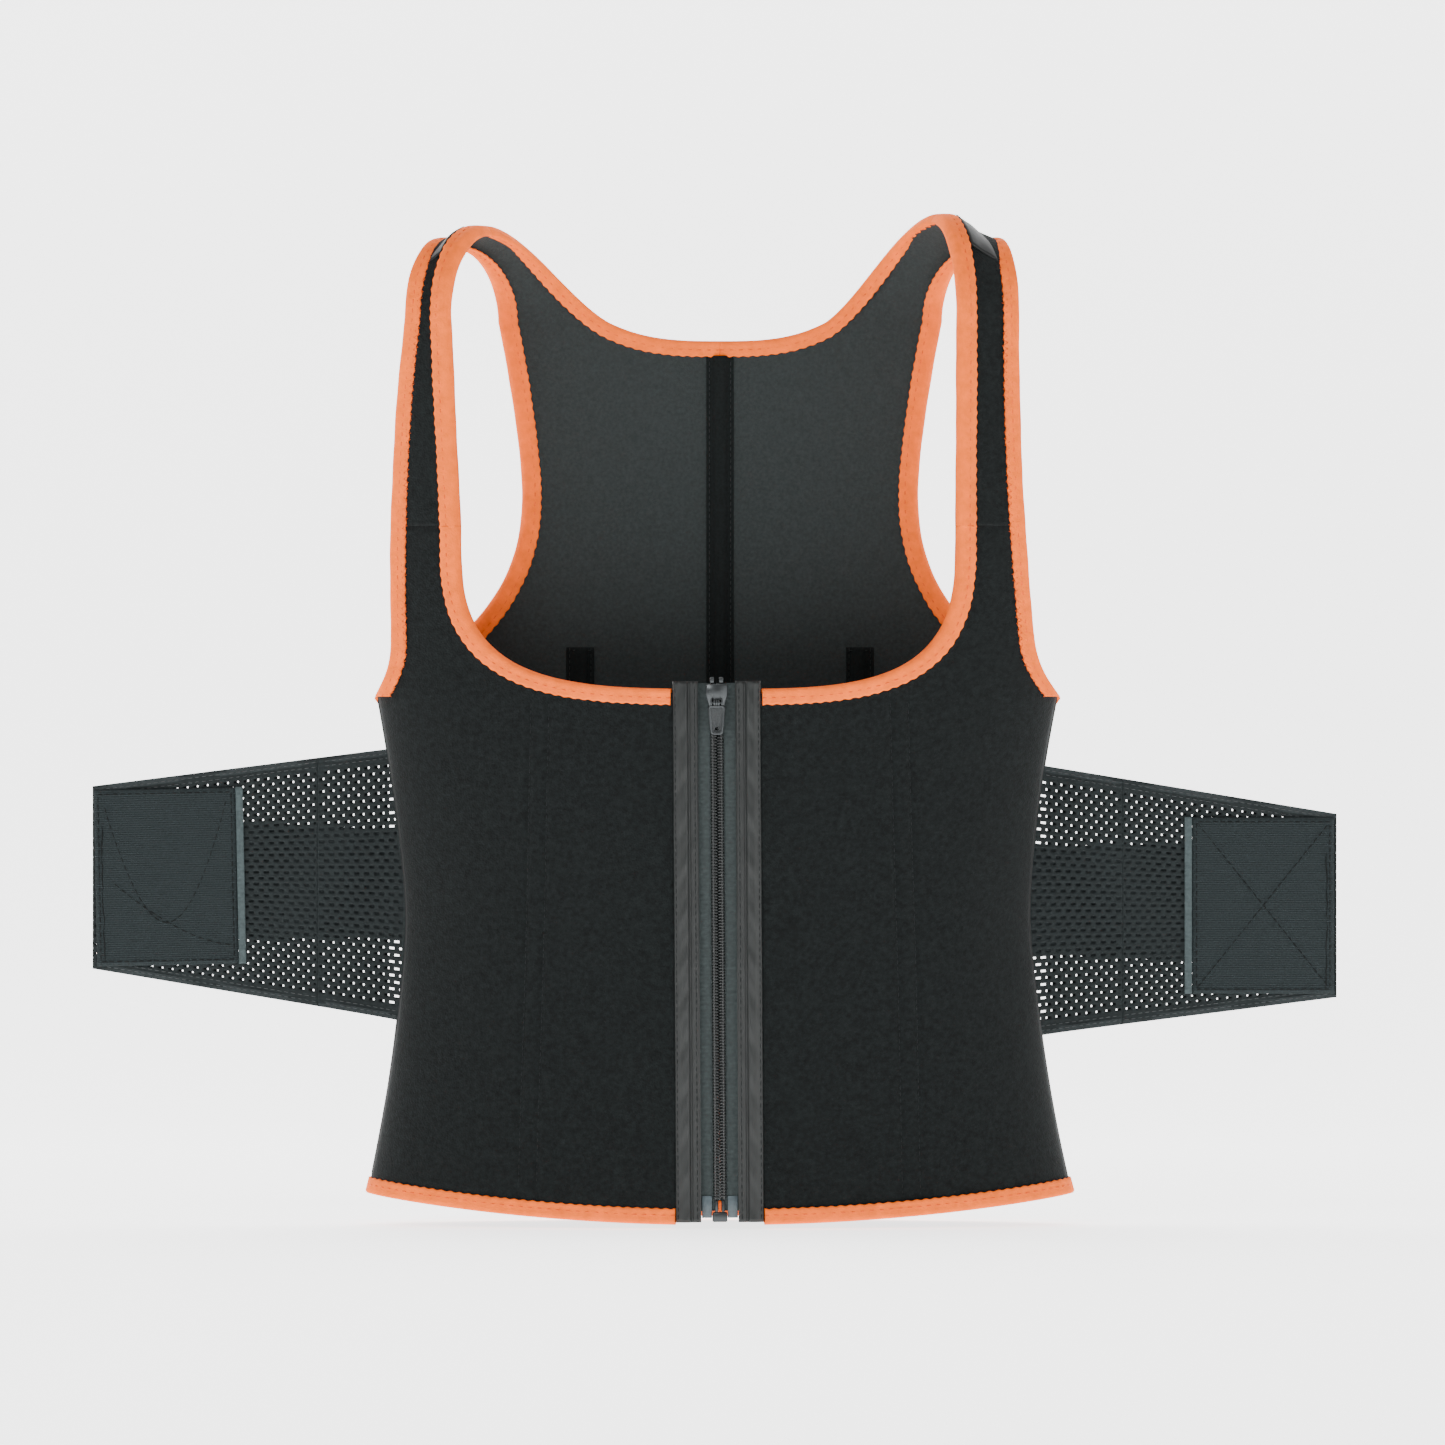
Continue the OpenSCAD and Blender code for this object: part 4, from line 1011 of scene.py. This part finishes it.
def coil_half(k, low, top):
    """One half of the zip's coil: flattened turns whose heads reach past the middle."""
    pitch = sizes().coil_pitch / MM
    turns = (top - low) / pitch
    t = np.arange(0, turns, 1 / 18)
    a = 2 * math.pi * t
    reach = 1.95 + 1.55 * np.sign(np.cos(a)) * np.abs(np.cos(a)) ** 0.6
    x = SIGN[k] * (reach - 0.35)
    y = 0.45 + 0.95 * np.sin(a)
    z = low + pitch * (t + 0.5 * (k == RIGHT))
    return tube(closure(np.stack([x, y, z], -1)), 0.00036, 6, up=(0, 0, 1))


def zip_pieces(k):
    side, sign = SIDE_NAME[k], SIGN[k]
    q = np.linspace(0.7, 14.5, 20)
    z = np.arange(7, ZIP_TOP_H, 2.0)
    rib = 0.08 * np.cos(q * 4.5)
    x = sign * q
    outer = np.stack(np.broadcast_arrays(x, 1.75 - rib + 0 * z[:, None], z[:, None]), -1)
    points, faces, _ = shell(closure(outer), closure(outer + (0, 0.6, 0)))
    tape = piece(f"zip_cloth_{side}", points, faces, [material(woven, "zip_tape",
                 (0.034, 0.043, 0.043), 0.75)])
    finish(tape, f"front_{side}", "zip_tape", f"zip_tape_{side}")
    cord = tube(closure([(sign * 2.2, 0.45, v) for v in np.arange(12.5, 270, 4)]), 0.0007, 8)
    coil = piece(f"coil_{side}", *joined([coil_half(k, 12.5, 270), cord]), [material(coil_nylon)])
    finish(coil, f"front_{side}", "zip_coil", f"zip_coil_{side}")
    stop = slab(sorted((sign * 1.2, sign * 3.4)), (-0.9, 2.1), (270.8, 274), 0.5)
    finish(piece(f"top_stop_{side}", *stop, [material(dark_metal)]), f"front_{side}",
           "zip_coil", f"zip_top_stop_{side}")
    patch = slab(sorted((sign * 3.9, sign * 9.0)), (1.1, 1.7), (3.5, 14.5), 0.25)
    finish(piece(f"end_film_{side}", *patch, [material(film_plastic)]), f"front_{side}",
           "zip_film", f"zip_film_{side}")
    placket = placket_piece(k)
    finish(placket, f"front_{side}", "satin_tape", f"placket_{side}",
           f"placket_bone_{side}")


def plate_outline(width, low, high, waist, y, thick, bevel):
    """A slider's plate: wide at the top, drawn in below, with bevelled edges."""
    z = np.linspace(low, high, 15)
    u = (z - low) / (high - low)
    half = width / 2 * (waist + (1 - waist) * np.clip(u / 0.55, 0, 1) ** 1.5)
    half *= np.sqrt(1 - np.clip((u - 0.86) / 0.2, 0, 1) ** 2 * 0.55)
    half *= np.sqrt(1 - np.clip((0.1 - u) / 0.16, 0, 1) ** 2 * 0.5)
    loop = np.concatenate([np.stack([half, z], -1), np.stack([-half[::-1], z[::-1]], -1)])
    middle = loop.mean(axis=0)
    rings = []
    for depth, inset in ((0, bevel), (bevel, 0), (thick - bevel, 0), (thick, bevel)):
        shrunk = middle + (loop - middle) * (1 - inset / (width / 2))
        rings.append([(px, y + depth, pz) for px, pz in shrunk])
    return swept(closure(np.array(rings)))


def puller_parts():
    """A long tapered puller: polished rim, sunk textured centre, window and ring end."""
    y, top, low = -52.1 + FRONT_D, 259.3, 245.7
    rim = []
    loop = []
    for x, z, turn in ((3.7, top, 0), (-3.7, top, 90), (-2.5, low, 180), (2.5, low, 270)):
        for a in np.radians(np.arange(turn, turn + 91, 22.5)):
            loop.append((x - np.sign(x) * 1.0 + 1.0 * math.cos(a),
                         z + (-1.0 if z == top else 1.0) + 1.0 * math.sin(a)))
    loop = np.array(loop)
    path = closure(np.array([(x, y, z) for x, z in loop]))
    rim.append(tube(path, 0.00072, 8, up=(0, 1, 0), closed=True))
    window = np.array([(1.15, 249.4), (-1.15, 249.4), (-1.15, 247.2), (1.15, 247.2)])
    rim.append(tube(closure(np.array([(x, y, z) for x, z in window])), 0.00036, 6, up=(0, 1, 0),
                    closed=True))
    outer = loop.mean(axis=0) + (loop - loop.mean(axis=0)) * 0.95
    angle = np.arctan2(outer[:, 1] - 248.3, outer[:, 0])
    hole = []
    for a in angle:
        c, s = math.cos(a), math.sin(a)
        reach = min(1.15 / max(abs(c), 1e-6), 1.1 / max(abs(s), 1e-6))
        hole.append((reach * c, 248.3 + reach * s))
    rings = np.array([[(x, y + d, z) for x, z in ring] for ring, d in
                      ((outer, -0.42), (outer, 0.42), (np.array(hole), 0.42),
                       (np.array(hole), -0.42), (outer, -0.42))])
    centre = closure(rings).reshape(-1, 3), grid_faces(5, len(outer), closed=True)
    eye_angle = np.linspace(0, 2 * math.pi, 22, endpoint=False)
    eye = closure(np.array([(0, y + 1.15 * math.cos(a), 261.1 + 1.15 * math.sin(a))
                            for a in eye_angle]))
    for x in (-1.1, 0, 1.1):
        rim.append(tube(eye + np.array([x * MM, 0, 0]), 0.00062, 8, up=(1, 0, 0), closed=True))
    rim.append(slab((-1.6, 1.6), (y - 0.55, y + 0.55), (258.6, 260.4), 0.3))
    return joined(rim), joined([centre])


class VEST_OT_closure(bpy.types.Operator):
    """Makes the plackets and the separating zip with its slider and puller"""
    bl_idname = "vest.closure"
    bl_label = "Zip"

    def execute(self, context):
        for k in SIDES:
            zip_pieces(k)
        parts = [plate_outline(11, 258.5, 270.5, 0.7, -2.2, 1.2, 0.35),
                 plate_outline(11, 258.5, 270.5, 0.7, 2.75, 1.2, 0.35),
                 slab((-0.9, 0.9), (-1.6, 3.2), (263.8, 269.4), 0.3)]
        for sign in (-1, 1):
            parts.append(slab(sorted((sign * 3.95, sign * 5.1)), (-1.6, 1.3), (262.5, 269.5), 0.4))
            parts.append(slab(sorted((sign * 2.25, sign * 3.05)), (-5.4, -1.8), (259.7, 263.3), 0.4))
        parts.append(tube(closure([(x, -4.1, 261.1) for x in (-3.1, -1, 1, 3.1)]), 0.0007, 10))
        finish(piece("slider", *joined(parts), [material(dark_metal)]), "slider", "zip_metal",
               "zip_slider")
        rim, centre = puller_parts()
        points, faces = joined([rim, centre])
        puller = piece("puller", points, faces, [material(dark_metal), material(pitted_metal)],
                       [0] * len(rim[1]) + [1] * len(centre[1]))
        finish(puller, "puller", "zip_metal", "zip_puller")
        box = joined([slab((-3.8, 3.8), (-1.5, 2.9), (1.5, 6.5), 0.8),
                      slab((-2.4, -1.0), (-0.5, 1.3), (6, 12.2), 0.4)])
        finish(piece("box", *box, [material(dark_metal)]), "front_left", "zip_coil", "zip_box")
        pin = slab((1.0, 2.4), (-0.5, 1.3), (3.1, 12.2), 0.4)
        finish(piece("pin", *pin, [material(dark_metal)]), "front_right", "zip_coil", "zip_pin")
        return {"FINISHED"}


# ---- Belt wings ----
WING_Y = 22.0
SEAM_X = 100.0
WING_TIP = (318, 312.5)
WING_LOW, WING_HIGH = (90, 85), (246.5, 240)
TIP_H, TIP_LOW = (92.5, 93), (126.5, 112)
FOLD_L = 61
PAD_L, PAD_EDGE = 73, 0.8


def wing_share(k, x):
    return (x - SEAM_X) / (WING_TIP[k] - SEAM_X)


def wing_top(k, x):
    return mix(WING_HIGH[k], TIP_LOW[k] + TIP_H[k], wing_share(k, x))


def wing_low(k, x):
    return mix(WING_LOW[k], TIP_LOW[k], wing_share(k, x))


def wing_fold(k, h):
    return WAIST_HALF[k] + 15 + 0.05 * (h - WAIST_H)


def wing_join(k):
    """Where the wing's two parts meet, between two holes of the mesh."""
    pitch = sizes().mesh_pitch / MM
    return pitch * round((float(wing_fold(k, 165)) + FOLD_L / 2) / pitch)


def wing_y(k, x):
    """The wings lie against the back at their seam and leave it smoothly at the side."""
    body = 48 * lens(x / side_x(k, 165)) + 4.2
    away = 1 / (1 + np.exp(-(x - 160) / 6.0))
    sag = 1.3 * np.sin((x - 170) / 24) * np.clip((x - 175) / 30, 0, 1) \
        * np.clip((WING_TIP[k] - 70 - x) / 20, 0, 1)
    return mix(body, WING_Y, away) + sag


def lattice(k, x0, x1, y_off, thick, phase=0):
    """Woven mesh with real slots: (points, faces) between two distances from the middle."""
    pitch = sizes().mesh_pitch / MM
    rows = 40
    first, last = int(math.floor(x0 / pitch)), int(math.ceil(x1 / pitch))
    cells = last - first
    fine = 6
    u = np.linspace(0, 1, cells * fine + 1)
    x = np.clip(mix(first * pitch, last * pitch, u), x0, x1)
    v = np.linspace(0, 1, rows * 3 + 1)
    h = mix(wing_low(k, x)[None, :], wing_top(k, x)[None, :], v[:, None])
    keep = []
    columns = len(x)
    for r in range(rows * 3):
        row, part = divmod(r, 3)
        shift = (row % 2) * (fine // 2) + phase
        for c in range(cells * fine):
            inside = (c + shift) % fine
            if part == 1 and 2 <= inside <= 4 and 1 < row < rows - 2 and 0 < c < cells * fine - 1:
                continue
            if x[c + 1] - x[c] < 1e-6:
                continue
            keep.append((r * columns + c, r * columns + c + 1, (r + 1) * columns + c + 1,
                         (r + 1) * columns + c))
    grid_x = np.broadcast_to(x, h.shape)
    puff = 0.12 * np.sin(np.arange(len(v))[:, None] * 2 * math.pi / 3) \
        + 0.25 * np.sin(grid_x / 9 + h / 17)
    front = np.stack([SIGN[k] * grid_x, wing_y(k, grid_x) + y_off + puff, h - HANGER_H], -1) * MM
    back = front + np.array([0, thick * MM, 0])
    points, faces, _ = skin(front.reshape(-1, 3), back.reshape(-1, 3), np.array(keep))
    return points, faces


def wing_strip(k, x0, x1, low, high, y_off, thick, ribs=0.0, pitch=1.2):
    """A plain strip of elastic between two distances and two heights given by functions."""
    x = np.arange(x0, x1 + 0.01, 1.4)
    v = np.linspace(0, 1, 48)[:, None]
    h = mix(low(x), high(x), v)
    y = wing_y(k, x) + y_off + ribs * np.cos(2 * math.pi * h / pitch)
    front = np.stack(np.broadcast_arrays(SIGN[k] * x, y, h - HANGER_H), -1) * MM
    points, faces, _ = shell(front, front + np.array([0, thick * MM, 0]))
    return points, faces


def wing_stitches(k, x0, x1):
    """Stitch lines along the wing's two long edges."""
    x = np.arange(x0, x1, 1.5)
    lines = []
    for edge, inset in ((wing_low, 2.2), (wing_top, -2.2), (wing_low, 4.6), (wing_top, -4.6)):
        line = np.stack([SIGN[k] * x, wing_y(k, x) - 1.65, edge(k, x) + inset - HANGER_H], -1) * MM
        lines.append(dashes(line, 0.0022, 0.0013, 0.00022, 4))
    return joined(lines)


def flat_strip(height, *stretches):
    """Width, length and area in metres of a strip cut flat over those stretches of a wing."""
    ends = [(height(a), height(b), b - a) for a, b in stretches]
    width = max(max(first, last) for first, last, _ in ends)
    length = sum(run for _, _, run in ends)
    area = sum((first + last) / 2 * run for first, last, run in ends)
    return float(width) * MM, float(length) * MM, float(area) * MM ** 2


def wing_piece(k, part):
    side = SIDE_NAME[k]
    fold1 = float(wing_fold(k, 165))
    middle = wing_join(k)
    x0, x1 = ((SEAM_X, middle), (middle, WING_TIP[k]))[part]
    front = lattice(k, x0, x1, -1.4, 0.55)
    layers = [front]
    if part:
        layers.append(lattice(k, x0, x1, 0.85, 0.55, 2))
    else:
        layers.append(lattice(k, fold1 - 6, x1, 0.85, 0.55, 2))
    cloth = joined(layers)
    edge = joined([wing_strip(k, x0, x1, lambda x: wing_low(k, x), lambda x: wing_low(k, x) + 3.2,
                              -1.55, 2.6),
                   wing_strip(k, x0, x1, lambda x: wing_top(k, x) - 3.2, lambda x: wing_top(k, x),
                              -1.55, 2.6)])
    stitches = wing_stitches(k, x0 + 1, x1 - 1)
    points, faces = joined([cloth, edge, stitches])
    kind = [0] * len(cloth[1]) + [1] * len(edge[1]) + [2] * len(stitches[1])
    obj = piece(("wing_inner_", "wing_outer_")[part] + side, points, faces,
                [material(woven, "wing_mesh", tuple(colours().mesh), 0.75),
                 material(woven, "wing_edge", (0.019, 0.024, 0.025), 0.75),
                 material(thread, "wing_thread", (0.05, 0.055, 0.056))], kind)
    doubled = (x0 if part else fold1 - 6, x1)
    size = flat_strip(lambda x: wing_top(k, x) - wing_low(k, x), (x0, x1), doubled)
    return sheet(wing_bend(obj), *size)


def wing_bend(obj):
    """Bake the piece's transform; neither part is bent."""
    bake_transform(obj)
    return obj


def band_piece(k, part):
    side = SIDE_NAME[k]
    middle = wing_join(k)
    x0, x1 = ((SEAM_X, middle), (middle, WING_TIP[k] - 3))[part]

    def edge(up):
        return lambda x: (wing_low(k, x) + wing_top(k, x)) / 2 + up * (25 + 7.5 * wing_share(k, x))

    band = wing_strip(k, x0, x1, edge(-1), edge(1), -0.5, 0.95, 0.1, 2.4)
    obj = piece(("band_inner_", "band_outer_")[part] + side, *band,
                [material(woven, "wing_elastic", (0.0115, 0.015, 0.016), 0.8, 2400)])
    size = flat_strip(lambda x: edge(1)(x) - edge(-1)(x), (x0, x1))
    return sheet(wing_bend(obj), *size)


def pad_place(k, u, v, y):
    """A point on a hook pad: u out from its inner edge, v up from its lower edge."""
    tilt = math.radians(3.3) if k == LEFT else 0.0
    inner = WING_TIP[k] - PAD_EDGE - PAD_L
    low = TIP_LOW[k] + PAD_EDGE + 0.3
    u, v, y = np.broadcast_arrays(*(np.asarray(c, float) for c in (u, v, y)))
    mu, mv = u - PAD_L / 2, v - 45.5
    x = inner + PAD_L / 2 + mu * math.cos(tilt) * 0.985 + mv * math.sin(tilt) * 0.35
    h = low + 45.5 + mv * 0.985 - mu * math.sin(tilt) * 0.35
    return np.stack([SIGN[k] * x, WING_Y + y, h - HANGER_H], -1) * MM


def pad_piece(k):
    side = SIDE_NAME[k]
    pitch = sizes().rib_pitch / MM
    u, v = np.linspace(0, PAD_L, 60), np.arange(0, 91.01, pitch / 5)
    rib = 0.26 * np.abs(np.sin(math.pi * v / pitch))[:, None]
    lumps = 0.18 * np.sin(u / 7 + v[:, None] / 19) + 0.1 * np.sin(u / 3.1 - v[:, None] / 8)
    rim = 0.8 * (np.exp(-(u / 0.9) ** 2) + np.exp(-((PAD_L - u) / 0.9) ** 2)) \
        + 0.8 * (np.exp(-(v / 0.9) ** 2) + np.exp(-((91 - v) / 0.9) ** 2))[:, None]
    face = pad_place(k, u, v[:, None], -3.25 - rib + lumps * 0.6 + rim)
    points, faces, _ = shell(face, pad_place(k, u, v[:, None], -1.75))
    line = np.linspace(0, 1, 120)
    round_u = np.concatenate([2.2 + (PAD_L - 4.4) * line, 0 * line + PAD_L - 2.2,
                              PAD_L - 2.2 - (PAD_L - 4.4) * line, 0 * line + 2.2])
    round_v = np.concatenate([0 * line + 2.4, 2.4 + 86 * line, 0 * line + 88.4, 88.4 - 86 * line])
    paths = [(round_u, round_v, 0.0026, 0.0012)]
    if k == RIGHT:
        paths += [(2.5 + (PAD_L - 5) * line, 3 + 85 * line, 0.003, 0.0011),
                  (2.5 + (PAD_L - 5) * line, 88 - 85 * line, 0.003, 0.0011)]
    else:
        paths += [(5 + (PAD_L - 10) * line, 84 - 62 * np.sin(math.pi * line) ** 0.9, 0.003, 0.0014),
                  (4 + (PAD_L - 12) * line, 10 + 34 * line ** 1.6, 0.003, 0.0016)]
    run = np.arange(0, 86, 0.7)
    zig = 3.4 + 1.1 * np.abs((run / 3.0) % 1 - 0.5) * 2
    paths.append((PAD_L - zig, 2.6 + run, 0.02, 0.0))
    stitches = joined([dashes(pad_place(k, a, b, -3.55), long, gap, 0.00027, 4)
                       for a, b, long, gap in paths])
    hook = (points, faces)
    points, faces = joined([hook, stitches])
    pad = piece(f"hook_face_{side}", points, faces,
                [material(hook_tape), material(thread, "pad_thread", (0.0025, 0.003, 0.003))],
                [0] * len(hook[1]) + [1] * len(stitches[1]))
    finish(pad, f"wing_end_{side}", "hook_tape", f"hook_pad_{side}")
    v = np.arange(0, 91.01, 1.3)
    u = np.linspace(-3.9, -0.1, 9)
    strip = pad_place(k, u, v[:, None], -2.6 - 0.45 * np.cos((u + 2) / 2.2) + 0.1 * np.sin(v / 5)[:, None])
    points, faces, _ = shell(strip, pad_place(k, u, v[:, None], -1.75))
    trim = piece(f"pad_strip_{side}", points, faces,
                 [material(woven, "pad_trim", (0.042, 0.058, 0.060), 0.6)])
    finish(trim, f"wing_end_{side}", "pad_trim", f"pad_trim_{side}")


class VEST_OT_wings(bpy.types.Operator):
    """Makes the belt wings, their elastic bands and their hook pads"""
    bl_idname = "vest.wings"
    bl_label = "Belt wings"

    def execute(self, context):
        for k in SIDES:
            side = SIDE_NAME[k]
            for part in (0, 1):
                wing, band = wing_piece(k, part), band_piece(k, part)
                names = (("root",), ("middle", "end"))[part]
                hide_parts(*(f"wing_{n}_{side}" for n in names))
                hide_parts(*(f"band_{n}_{side}" for n in names))
            pad_piece(k)
        return {"FINISHED"}


# ---- Cloth and studio ----
class VEST_OT_cloth(bpy.types.Operator):
    """Makes the front, strap and back cloth"""
    bl_idname = "vest.cloth"
    bl_label = "Cloth"

    def execute(self, context):
        for k in SIDES:
            sheet(front_cloth(k), 0.2, 0.345, 0.051)
            sheet(strap_cloth(k), 0.036, 0.18, 0.0062)
            sheet(back_cloth(k), 0.205, 0.56, 0.074)
        return {"FINISHED"}


class VEST_OT_studio(bpy.types.Operator):
    """Makes the floor, the lights and the camera"""
    bl_idname = "vest.studio"
    bl_label = "Studio"

    def execute(self, context):
        low = CAD_BOX[0][2] - 0.002
        path = [(-3.0, low), (0.9, low)]
        path += [(0.9 + 0.8 * math.sin(a), low + 0.8 - 0.8 * math.cos(a))
                 for a in np.radians(np.arange(10, 91, 10))]
        path += [(1.7, 5.0)]
        grid = np.array([[(x, y, z) for x in (-6.0, 6.0)] for y, z in path])
        floor = piece("studio_floor", grid.reshape(-1, 3), grid_faces(len(path), 2),
                      [material(studio_white)])
        world = bpy.data.worlds.new("studio_world")
        world.use_nodes = True
        world.node_tree.nodes["Background"].inputs["Color"].default_value = (1, 1, 1, 1)
        world.node_tree.nodes["Background"].inputs["Strength"].default_value = 0.4
        context.scene.world = world
        for name, place, size, power in (
                ("key", (-1.1, -2.4, 1.5), 1.0, 36), ("fill", (1.9, -2.0, 0.5), 1.6, 12),
                ("top", (0.0, 0.4, 2.4), 1.6, 22), ("back_left", (-1.8, 1.0, 0.8), 1.2, 8)):
            data = bpy.data.lights.new(name, "AREA")
            data.size, data.energy = size, power
            lamp = bpy.data.objects.new(name, data)
            lamp.location = place
            aim = mathutils.Vector((0, 0, -0.2)) - mathutils.Vector(place)
            lamp.rotation_euler = aim.to_track_quat("-Z", "Y").to_euler()
            context.scene.collection.objects.link(lamp)
        view = bpy.data.cameras.new("camera")
        view.lens, view.sensor_width = 250, 36
        holder = bpy.data.objects.new("camera", view)
        distance = 0.7225 * view.lens / view.sensor_width
        holder.location = (0.00125, -0.048 - distance, 0.25125 - HANGER_H * MM)
        holder.rotation_euler = (math.pi / 2, 0, 0)
        context.scene.collection.objects.link(holder)
        context.scene.camera = holder
        return {"FINISHED"}


class VEST_PT_panel(bpy.types.Panel):
    """Lists the vest's steps"""
    bl_label = "Bound zip vest"
    bl_idname = "VEST_PT_panel"
    bl_space_type = "VIEW_3D"
    bl_region_type = "UI"
    bl_category = "Vest"

    def draw(self, context):
        for step in STEPS:
            self.layout.operator(step.bl_idname)


STEPS = (VEST_OT_cloth, VEST_OT_bindings, VEST_OT_casings, VEST_OT_closure, VEST_OT_wings,
         VEST_OT_studio)
CLASSES = (VestSizes, VestColours, *STEPS, VEST_PT_panel)


def register():
    for cls in CLASSES:
        bpy.utils.register_class(cls)
    bpy.types.Scene.vest_sizes = bpy.props.PointerProperty(type=VestSizes)
    bpy.types.Scene.vest_colours = bpy.props.PointerProperty(type=VestColours)


def unregister():
    del bpy.types.Scene.vest_sizes
    del bpy.types.Scene.vest_colours
    for cls in reversed(CLASSES):
        bpy.utils.unregister_class(cls)


def main():
    register()
    for step in STEPS:
        area, name = step.bl_idname.split(".")
        getattr(getattr(bpy.ops, area), name)()


if __name__ == "__main__":
    main()
